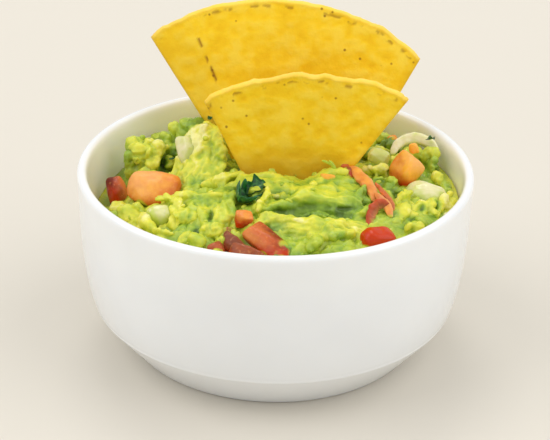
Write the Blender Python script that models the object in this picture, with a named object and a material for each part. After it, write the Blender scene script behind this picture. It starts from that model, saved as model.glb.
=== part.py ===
"""Guacamole heaped in a white porcelain bowl, with two tortilla chips standing in it.

Metres, +Z up. The origin is the middle of the bowl's flat base, which stands on Z = 0. The chips
lean back towards +Y. The heap lies in the bowl, and the diced tomato, the onion and the two chips
are separate pieces set into it, each with a thin gap all round.
"""
import math

import bmesh
import bpy
import numpy as np
from mathutils import Euler, Matrix, Vector

MM = 0.001
GAP = 0.3 * MM                    # between pieces that touch

# Bowl: a straight-sided form on a slanted foot, turned about +Z
TURN_STEPS = 56                   # facets round the bowl and round the heap
RIM_RADIUS = 57.5 * MM
BOWL_HEIGHT = 54.5 * MM
CREASE_RADIUS = 53.2 * MM         # sharp line where the wall meets the slanted foot
CREASE_HEIGHT = 13.6 * MM
BASE_RADIUS = 42.7 * MM
BELLY_SHARE = 0.86                # part of the widening done low down, the rest is the lip's flare
BELLY_POWER = 3.5
FLARE_POWER = 4.0
LIP_THICKNESS = 2.8 * MM
WALL_THICKNESS = 3.5 * MM
INNER_CORNER_TOP = 26.0 * MM      # the inner wall turns in below this height
INNER_CORNER_REACH = 22.5 * MM    # and over this width meets the floor
BOWL_FLOOR = 5.5 * MM
INNER_CORNER_STEPS = 6
BASE_EDGE = 0.8 * MM              # the base's edge is eased by this
SHARP_ANGLE = 35.0                # degrees; flatter edges than this are shaded smooth

# Heap of guacamole
EDGE_LEVEL = 43.5 * MM            # mean height where it meets the wall
LEVEL_RISE_X = 3.6 * MM           # the heap stands higher at +X than at -X by twice this
CROWN = 7.5 * MM                  # rise of the middle above the edge
HEAP_RINGS = 18
RIPPLE = 1.5 * MM
LUMP_POWER = 1.7                  # higher makes a lump flatter on top and steeper at its side

# Lumps in the heap: middle x, y; half width in x, y; turn in degrees; rise above the mean surface
LUMPS = (
    (-39.0, 20.5, 6.5, 8.5, 12, 7.6),      # crumbly lump near the left wall
    (-30.0, 34.0, 8.0, 6.0, -25, 6.0),     # low end of the ridge behind it
    (-22.0, 22.5, 8.0, 7.5, -20, 11.2),    # high end of the ridge, against the back chip
    (-21.0, 7.0, 7.5, 10.0, 8, 6.4),       # pale lump beside the front chip
    (-22.0, -19.0, 10.0, 8.5, 15, 3.0),    # broad lump at the front left
    (-41.0, -14.0, 6.0, 8.0, -30, 1.6),    # low lump at the left rim
    (-48.0, 8.0, 5.0, 7.0, 0, -2.6),       # hollow round the far left tomato
    (10.0, -12.0, 15.0, 5.5, -6, 3.2),     # long fold in the middle
    (12.0, -27.5, 16.0, 6.5, 4, 2.2),      # second fold in front of it
    (37.0, -15.0, 7.5, 8.5, 25, 2.2),      # lump at the right
    (45.0, 12.0, 5.0, 8.0, 10, 2.0),       # lump at the right wall
    (30.0, 23.0, 8.0, 7.0, 0, 2.6),        # lump at the right of the chips
    (-4.0, 30.0, 12.0, 8.0, -12, 5.0),     # ridge behind the chips
    (17.0, 38.0, 10.0, 7.0, 8, 3.2),
)

# Tortilla chips: sectors of a fried round
CHIP_THICKNESS = 1.9 * MM
CHIP_TIP_RADIUS = 5.0 * MM        # the point is blunt
CHIPS = {
    # tip x, y, z; length of left side, middle, right side; half angle, lean back, roll, turn (deg);
    # how far the sides bend back; how far the left flap folds back (deg)
    "chip_back": ((6.7, 5.2, 18.5), (82.3, 79.6, 73.5), 31.6, 20.0, -3.3, 3.0, 2.4, 10.0),
    "chip_front": ((3.1, -0.5, 26.2), (53.0, 55.3, 60.3), 31.8, 6.0, 4.1, 0.0, 1.0, 0.0),
}
CHIP_FLAP_ANGLE = 22.0            # the flap is the part beyond this angle from the chip's middle
CHIP_CORNER = 1.0 * MM            # taken off each corner of the arc
CHIP_ROWS = 8
CHIP_COLUMNS = 12

# Diced pieces: middle x, y, z; length, width, height (mm); turn about X, Y, Z (deg);
# width of the top as a share of the bottom's; radius of the edges as a share of the smallest side
DICE = {
    "tomato_far_left": ((-46.8, 6.2, 41.2), (5.8, 8.0, 9.6), (10, -12, 12), 0.85, 0.2),
    "tomato_left": ((-35.8, -1.8, 45.8), (15.2, 10.8, 9.2), (8, 3, -6), 0.84, 0.4),
    "tomato_front": ((-1.8, -33.8, 46.0), (15.2, 6.8, 5.2), (25, 18, -50), 0.80, 0.2),
    "tomato_front_top": ((-8.6, -24.4, 49.2), (4.8, 4.0, 4.4), (14, 6, 10), 0.85, 0.2),
    "tomato_front_right": ((29.3, -31.6, 46.7), (9.6, 7.2, 7.4), (12, 8, 27), 0.82, 0.22),
    "tomato_right": ((39.4, 6.4, 51.4), (8.8, 8.8, 9.8), (6, 4, 41), 0.40, 0.2),
    "onion_left_back": ((-26.6, 11.8, 53.6), (5.6, 4.6, 8.2), (-22, -8, 16), 0.80, 0.2),
    "onion_left_front": ((-32.2, -18.2, 45.4), (6.6, 6.0, 7.6), (28, -6, 14), 0.75, 0.25),
    "onion_by_chip": ((30.6, 11.0, 52.6), (6.2, 4.2, 3.8), (10, 12, -14), 0.80, 0.2),
    "onion_right": ((43.6, -3.8, 47.6), (12.4, 8.4, 6.4), (8, 10, -22), 0.80, 0.25),
}
DICE_UNEVENNESS = 0.07            # how far a corner may be off, as a share of the side
DICE_EDGE_STEPS = 2               # facets round each edge of a dice
SOCKET_HEADROOM = 5.0 * MM        # a dice's socket is open above it by this much

# Curved slices: middle of the arc x, y, z; turn about X, Y, Z (deg); radius, swept angle (deg),
# width, thickness, and how far it droops along its length (mm)
SLICES = {
    "tomato_strip": ((14.6, -8.4, 50.4), (-82, 0, -96), 17.0, 102.0, 4.6, 3.8, 1.4),
    "onion_right_back": ((41.3, 18.6, 46.4), (-40, 0, -4), 7.6, 150.0, 4.6, 2.8, 0.0),
}
SLICE_STEPS = 9

COLOURS = {
    "bowl": (0.86, 0.86, 0.84, 0.15),
    "guacamole": (0.46, 0.56, 0.06, 0.35),
    "chip": (0.86, 0.58, 0.06, 0.70),
    "tomato": (0.78, 0.20, 0.07, 0.25),
    "onion": (0.78, 0.78, 0.55, 0.30),
}


def clear_scene():
    for item in list(bpy.data.objects):
        bpy.data.objects.remove(item, do_unlink=True)


def material(kind):
    """One Principled material for each kind of piece."""
    found = bpy.data.materials.get(kind)
    if found:
        return found
    made = bpy.data.materials.new(kind)
    made.use_nodes = True
    shader = made.node_tree.nodes["Principled BSDF"]
    red, green, blue, roughness = COLOURS[kind]
    shader.inputs["Base Color"].default_value = (red, green, blue, 1.0)
    shader.inputs["Roughness"].default_value = roughness
    shader.inputs["Metallic"].default_value = 0.0
    return made


def add_object(name, mesh, kind):
    """Links a mesh as a named piece, shaded smooth except over sharp edges."""
    mesh.shade_smooth()
    mesh.set_sharp_from_angle(angle=math.radians(SHARP_ANGLE))
    made = bpy.data.objects.new(name, mesh)
    made.data.materials.append(material(kind))
    bpy.context.scene.collection.objects.link(made)
    return made


def grid_faces(rows, columns, closed):
    """Quads between neighbouring points of a rows by columns grid; closed joins last column to first."""
    faces = []
    for i in range(rows - 1):
        for j in range(columns if closed else columns - 1):
            k = (j + 1) % columns
            near = i * columns
            far = near + columns
            faces.append((near + j, near + k, far + k, far + j))
    return faces


def closed_mesh(name, points, faces):
    """A mesh from points and faces with all faces turned to point out."""
    mesh = bpy.data.meshes.new(name)
    mesh.from_pydata([tuple(p) for p in points], [], faces)
    shape = bmesh.new()
    shape.from_mesh(mesh)
    bmesh.ops.remove_doubles(shape, verts=shape.verts, dist=1e-6)
    bmesh.ops.recalc_face_normals(shape, faces=shape.faces)
    shape.to_mesh(mesh)
    shape.free()
    return mesh


def turned(name, profile):
    """Turns a profile of (radius, height) points about +Z; its two ends lie on the axis."""
    angles = np.arange(TURN_STEPS) * (2 * math.pi / TURN_STEPS)
    rings = profile[1:-1]
    points = [(r * math.cos(a), r * math.sin(a), z) for r, z in rings for a in angles]
    faces = grid_faces(len(rings), TURN_STEPS, closed=True)
    first = len(points)
    points += [(0.0, 0.0, profile[0][1]), (0.0, 0.0, profile[-1][1])]
    last_ring = (len(rings) - 1) * TURN_STEPS
    for j in range(TURN_STEPS):
        k = (j + 1) % TURN_STEPS
        faces.append((first, k, j))
        faces.append((first + 1, last_ring + j, last_ring + k))
    return closed_mesh(name, points, faces)


# ---- bowl ----

def outer_radius(z):
    """Outer wall above the crease: widens quickly at the belly, flares slightly at the lip."""
    s = (z - CREASE_HEIGHT) / (BOWL_HEIGHT - CREASE_HEIGHT)
    belly = BELLY_SHARE * (1 - (1 - s) ** BELLY_POWER)
    flare = (1 - BELLY_SHARE) * s ** FLARE_POWER
    return CREASE_RADIUS + (RIM_RADIUS - CREASE_RADIUS) * (belly + flare)


def inner_radius(z):
    """Inner wall: the outer wall less its thickness, and an elliptic corner down to the floor."""
    if z >= INNER_CORNER_TOP:
        s = (z - INNER_CORNER_TOP) / (BOWL_HEIGHT - INNER_CORNER_TOP)
        return outer_radius(z) - WALL_THICKNESS + (WALL_THICKNESS - LIP_THICKNESS) * s ** 3
    top = outer_radius(INNER_CORNER_TOP) - WALL_THICKNESS
    depth = (INNER_CORNER_TOP - z) / (INNER_CORNER_TOP - BOWL_FLOOR)
    return top - INNER_CORNER_REACH * (1 - math.sqrt(max(0.0, 1 - depth * depth)))


def inner_corner(steps, inset):
    """Points of the inner corner from its top to the floor, moved in from the bowl by inset."""
    top = outer_radius(INNER_CORNER_TOP) - WALL_THICKNESS
    height = INNER_CORNER_TOP - BOWL_FLOOR
    points = []
    for i in range(steps + 1):
        a = 0.5 * math.pi * i / steps
        radius = top - INNER_CORNER_REACH + (INNER_CORNER_REACH - inset) * math.cos(a)
        points.append((radius, INNER_CORNER_TOP - (height - inset) * math.sin(a)))
    return points


def make_bowl():
    """Base, slanted foot, wall, round lip, inner wall, inner corner, floor."""
    eased = (BASE_RADIUS + 0.2 * BASE_EDGE, 0.45 * BASE_EDGE)
    profile = [(0.0, 0.0), (BASE_RADIUS - BASE_EDGE, 0.0), eased]
    profile.append((CREASE_RADIUS, CREASE_HEIGHT))
    lip_start = BOWL_HEIGHT - 0.5 * LIP_THICKNESS
    for s in (0.1, 0.25, 0.45, 0.7, 1.0):
        z = CREASE_HEIGHT + (lip_start - CREASE_HEIGHT) * s
        profile.append((outer_radius(z), z))
    middle = outer_radius(lip_start) - 0.5 * LIP_THICKNESS
    for degrees in (45, 90, 135, 180):
        a = math.radians(degrees)
        radius = middle + 0.5 * LIP_THICKNESS * math.cos(a)
        profile.append((radius, lip_start + 0.5 * LIP_THICKNESS * math.sin(a)))
    for z in (45.0 * MM, 35.0 * MM):
        profile.append((inner_radius(z), z))
    profile += inner_corner(INNER_CORNER_STEPS, 0.0)
    profile.append((0.0, BOWL_FLOOR))
    return add_object("bowl", turned("bowl", profile), "bowl")


# ---- heap ----

HEAP_RADIUS = inner_radius(EDGE_LEVEL - LEVEL_RISE_X) - GAP


def heap_height(x, y):
    """Mean surface, lumps and a ripple of three crossed waves; x, y and the result in metres."""
    rho = np.hypot(x, y) / HEAP_RADIUS
    z = EDGE_LEVEL + LEVEL_RISE_X * x / RIM_RADIUS + CROWN * np.clip(1 - rho ** 2, 0, 1)
    for mx, my, half_x, half_y, degrees, rise in LUMPS:
        a = math.radians(degrees)
        u = ((x - mx * MM) * math.cos(a) + (y - my * MM) * math.sin(a)) / (half_x * MM)
        v = (-(x - mx * MM) * math.sin(a) + (y - my * MM) * math.cos(a)) / (half_y * MM)
        z = z + rise * MM * np.exp(-(u * u + v * v) ** LUMP_POWER)
    wave = np.sin(x / (2.1 * MM) + 1.0) * np.sin(y / (1.9 * MM) + x / (5.0 * MM))
    wave = wave + 0.8 * np.sin((x + 1.3 * y) / (2.6 * MM) + 2.0)
    return z + 0.5 * RIPPLE * wave * np.clip(1.6 * (1 - rho), 0, 1)


def make_heap():
    """The heap's top as rings from the middle out, and its underside down the bowl's inside."""
    angles = np.arange(TURN_STEPS) * (2 * math.pi / TURN_STEPS)
    points = [(0.0, 0.0, float(heap_height(0.0, 0.0)))]
    for i in range(1, HEAP_RINGS + 1):
        radius = HEAP_RADIUS * i / HEAP_RINGS
        x = radius * np.cos(angles)
        y = radius * np.sin(angles)
        points += list(zip(x, y, heap_height(x, y)))
    top_rings = HEAP_RINGS
    for z in (35.0 * MM, 30.0 * MM):
        radius = inner_radius(z) - GAP
        points += [(radius * math.cos(a), radius * math.sin(a), z) for a in angles]
    corner = inner_corner(INNER_CORNER_STEPS, GAP)
    for radius, z in corner:
        points += [(radius * math.cos(a), radius * math.sin(a), z) for a in angles]
    rings = top_rings + 2 + len(corner)
    faces = [tuple(1 + k for k in quad) for quad in grid_faces(rings, TURN_STEPS, closed=True)]
    floor = len(points)
    points.append((0.0, 0.0, BOWL_FLOOR + GAP))
    last_ring = 1 + (rings - 1) * TURN_STEPS
    for j in range(TURN_STEPS):
        k = (j + 1) % TURN_STEPS
        faces.append((0, 1 + j, 1 + k))
        faces.append((floor, last_ring + k, last_ring + j))
    return add_object("guacamole", closed_mesh("guacamole", points, faces), "guacamole")


# ---- chips ----

def chip_mesh(name, sides, half_angle, bend, fold, grow):
    """A sector of a thin round: rows run from the blunt tip to the arc, columns across it.

    The sides bend back with the square of the distance from the middle, and beyond the flap's
    crease the left side folds back further. grow makes it larger all round, for cutting its slot.
    """
    left, middle, right = (s * MM for s in sides)
    t = np.linspace(-1, 1, CHIP_COLUMNS)
    angle = np.radians(half_angle) * t
    reach = 0.5 * (left + right) + 0.5 * (right - left) * t
    reach = reach + (middle - 0.5 * (left + right)) * np.cos(0.5 * math.pi * t)
    reach = reach - CHIP_CORNER * np.abs(t) ** 12
    rows = np.linspace(0, 1, CHIP_ROWS)[:, None]
    radius = CHIP_TIP_RADIUS - grow + (reach + 2 * grow - CHIP_TIP_RADIUS) * rows
    x = radius * np.sin(angle) + grow * np.cos(angle) * np.sign(t) * (np.abs(t) == 1)
    z = radius * np.cos(angle)
    half_width = left * math.sin(math.radians(half_angle))
    beyond = np.clip(-x - z * math.tan(math.radians(CHIP_FLAP_ANGLE)), 0, None)
    y = bend * MM * (x / half_width) ** 2 + beyond * math.tan(math.radians(fold))
    half = 0.5 * CHIP_THICKNESS + grow
    front = np.stack([x, y - half, z], -1).reshape(-1, 3)
    back = np.stack([x, y + half, z], -1).reshape(-1, 3)
    count = len(front)
    faces = grid_faces(CHIP_ROWS, CHIP_COLUMNS, closed=False)
    faces += [tuple(count + k for k in quad) for quad in faces]
    border = list(range(CHIP_COLUMNS))
    border += [i * CHIP_COLUMNS + CHIP_COLUMNS - 1 for i in range(1, CHIP_ROWS)]
    border += [(CHIP_ROWS - 1) * CHIP_COLUMNS + j for j in range(CHIP_COLUMNS - 2, -1, -1)]
    border += [i * CHIP_COLUMNS for i in range(CHIP_ROWS - 2, 0, -1)]
    for k, a in enumerate(border):
        b = border[(k + 1) % len(border)]
        faces.append((a, b, b + count, a + count))
    return closed_mesh(name, np.concatenate([front, back]), faces)


def make_chip(name, grow=0.0):
    """A chip set into the heap by its tip, leaning back about X, rolled in its own plane and turned."""
    tip, sides, half_angle, lean, roll, turn, bend, fold = CHIPS[name]
    mesh = chip_mesh(name, sides, half_angle, bend, fold, grow)
    made = add_object(name if not grow else "slot_" + name, mesh, "chip")
    turned_and_leant = Euler((math.radians(-lean), 0, math.radians(-turn))).to_matrix()
    rotation = turned_and_leant @ Euler((0, math.radians(roll), 0)).to_matrix()
    made.matrix_world = Matrix.Translation(Vector(tip) * MM) @ rotation.to_4x4()
    return made


# ---- diced pieces ----

def make_dice(name, grow=0.0):
    """A knife-cut block: a box whose top is tapered, its corners a little uneven, its edges rounded."""
    centre, size, turn, taper, rounding = DICE[name]
    shape = bmesh.new()
    bmesh.ops.create_cube(shape, size=1.0)
    rng = np.random.default_rng(sum(ord(c) for c in name))
    for vert in shape.verts:
        shift = Vector(rng.uniform(-DICE_UNEVENNESS, DICE_UNEVENNESS, 3))
        out = Vector(math.copysign(1, c) for c in vert.co)
        narrowing = taper if out.z > 0 else 1.0
        corner = Vector((vert.co.x * narrowing, vert.co.y * narrowing, vert.co.z)) + shift
        vert.co = Vector(c * s * MM for c, s in zip(corner, size)) + out * grow
        if grow and out.z > 0:
            vert.co.z += SOCKET_HEADROOM
    mesh = bpy.data.meshes.new(name)
    shape.to_mesh(mesh)
    shape.free()
    kind = name.split("_")[0]
    made = add_object(name if not grow else "slot_" + name, mesh, kind)
    bevel = made.modifiers.new("rounded_edges", "BEVEL")
    bevel.width = rounding * min(size) * MM + grow
    bevel.segments = DICE_EDGE_STEPS
    bevel.limit_method = "NONE"
    made.location = Vector(centre) * MM
    made.rotation_euler = [math.radians(d) for d in turn]
    return made


def make_slice(name, grow=0.0):
    """A curved slice: an oblong section carried along an upright arch, with rounded edges."""
    centre, turn, radius, sweep, width, thickness, droop = SLICES[name]
    half_angle = 0.5 * math.radians(sweep) + grow / (radius * MM)
    half_width = 0.5 * width * MM + grow
    half_thick = 0.5 * thickness * MM + grow
    points = []
    for i in range(SLICE_STEPS + 1):
        t = 2 * i / SLICE_STEPS - 1
        a = half_angle * t
        end = 1 - 0.25 * abs(t) ** 6
        for side_r, side_y in ((-1, -1), (1, -1), (1, 1), (-1, 1)):
            r = radius * MM + side_r * half_thick * end
            y = side_y * half_width * end + droop * MM * t
            points.append((r * math.sin(a), y, r * math.cos(a)))
    faces = grid_faces(SLICE_STEPS + 1, 4, closed=True)
    last = 4 * SLICE_STEPS
    faces += [(0, 1, 2, 3), (last + 3, last + 2, last + 1, last)]
    kind = name.split("_")[0]
    made = add_object(name if not grow else "slot_" + name, closed_mesh(name, points, faces), kind)
    bevel = made.modifiers.new("rounded_edges", "BEVEL")
    bevel.width = 0.3 * thickness * MM
    bevel.segments = 1
    bevel.limit_method = "ANGLE"
    bevel.angle_limit = math.radians(40)
    made.location = Vector(centre) * MM
    made.rotation_euler = [math.radians(d) for d in turn]
    return made


# ---- sockets ----

def cut_socket(heap, cutter):
    """Cuts the heap clear of one piece with that piece's slightly larger copy."""
    cutter.hide_render = True
    cutter.display_type = "WIRE"
    cut = heap.modifiers.new("socket_" + cutter.name, "BOOLEAN")
    cut.operation = "DIFFERENCE"
    cut.solver = "EXACT"
    cut.object = cutter


def main():
    clear_scene()
    make_bowl()
    heap = make_heap()
    makers = [(make_chip, CHIPS), (make_dice, DICE), (make_slice, SLICES)]
    for make, pieces in makers:
        for name in pieces:
            make(name)
            cut_socket(heap, make(name, grow=GAP))


main()
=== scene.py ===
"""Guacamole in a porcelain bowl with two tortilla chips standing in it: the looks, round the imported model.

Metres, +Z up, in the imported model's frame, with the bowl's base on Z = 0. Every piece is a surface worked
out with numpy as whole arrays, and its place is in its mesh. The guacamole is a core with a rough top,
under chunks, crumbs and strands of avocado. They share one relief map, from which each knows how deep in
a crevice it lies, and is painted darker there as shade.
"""

import itertools
import math
from functools import lru_cache

import bpy
import numpy as np
from bpy.props import FloatProperty, FloatVectorProperty, IntProperty, PointerProperty
from mathutils import Euler, Matrix, Vector


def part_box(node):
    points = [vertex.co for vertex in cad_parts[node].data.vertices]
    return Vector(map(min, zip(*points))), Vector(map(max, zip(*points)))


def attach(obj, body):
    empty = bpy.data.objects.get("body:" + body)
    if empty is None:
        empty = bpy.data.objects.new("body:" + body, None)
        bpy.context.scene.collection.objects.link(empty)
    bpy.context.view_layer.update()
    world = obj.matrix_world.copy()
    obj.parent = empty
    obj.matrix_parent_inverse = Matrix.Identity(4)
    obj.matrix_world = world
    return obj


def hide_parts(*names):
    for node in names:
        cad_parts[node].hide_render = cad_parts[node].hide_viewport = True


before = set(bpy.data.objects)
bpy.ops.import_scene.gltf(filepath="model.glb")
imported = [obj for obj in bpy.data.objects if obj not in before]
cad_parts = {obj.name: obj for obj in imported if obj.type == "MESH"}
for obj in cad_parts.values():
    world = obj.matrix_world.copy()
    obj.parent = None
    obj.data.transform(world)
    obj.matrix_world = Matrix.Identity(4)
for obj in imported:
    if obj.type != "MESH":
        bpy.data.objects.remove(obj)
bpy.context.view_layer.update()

bl_info = {
    "name": "Guacamole bowl",
    "version": (1, 0, 0),
    "blender": (4, 5, 0),
    "location": "3D View > Sidebar > Guacamole",
    "description": "Makes a bowl of chunky guacamole with diced tomato, onion and tortilla chips",
    "category": "Add Mesh",
}

MM = 0.001
BODY = "root"

# ---- bowl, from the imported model's box ----
RIM_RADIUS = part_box("bowl")[1].x
BOWL_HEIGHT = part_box("bowl")[1].z
CREASE_RADIUS = 53.2 * MM         # where the wall meets the slanted foot
CREASE_HEIGHT = 13.6 * MM
BASE_RADIUS = 42.7 * MM
BELLY_SHARE = 0.86                # part of the widening done low down, the rest is the lip's flare
BELLY_POWER = 3.5
FLARE_POWER = 4.0
WALL_THICKNESS = 3.5 * MM
INNER_CORNER_TOP = 26.0 * MM
INNER_CORNER_REACH = 22.5 * MM
BOWL_FLOOR = 5.5 * MM
BOWL_STEPS = 256

# ---- heap: its mean surface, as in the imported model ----
EDGE_LEVEL = 43.5 * MM
LEVEL_RISE_X = 3.6 * MM           # the heap stands higher at +X than at -X by twice this
CROWN = 7.5 * MM
CORE_DEPTH = 1.6 * MM             # the core's mean surface lies this far under the heap's
CORE_STEPS = 280
WALL_GAP = 0.25 * MM
MAP_CELL = 0.5 * MM               # relief map
MAP_HALF = int(RIM_RADIUS / MAP_CELL) + 2
MELT_CELL = 0.42 * MM
MELT_PASSES = 4
HOLLOW_PASSES = 70
MAP_BLUR = 3.2 * MM

# Broad swells of the core: middle x, y; half width in x, y; turn (deg); rise
SWELLS = (
    (-39.0, 20.5, 6.5, 8.5, 12, 4.5),
    (-30.0, 34.0, 8.0, 6.0, -25, 4.0),
    (-22.0, 20.5, 7.0, 7.5, -20, 8.0),
    (-21.0, 7.0, 7.0, 8.0, 8, 3.5),
    (-22.0, -19.0, 10.0, 8.0, 15, 1.4),
    (-48.0, 8.0, 5.0, 7.0, 0, -2.6),
    (11.0, -12.0, 14.0, 6.0, -6, 1.6),
    (37.0, -14.0, 7.5, 7.5, 25, 0.6),
    (45.0, 12.0, 5.0, 8.0, 10, 1.0),
    (30.0, 23.0, 8.0, 7.0, 0, 1.6),
    (-4.0, 30.0, 12.0, 8.0, -12, 4.0),
    (17.0, 38.0, 10.0, 7.0, 8, 2.4),
    (8.0, -22.6, 8.5, 1.7, -8, -3.0),
    (-8.6, -35.0, 8.0, 5.0, -12, -3.4),
)

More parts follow.
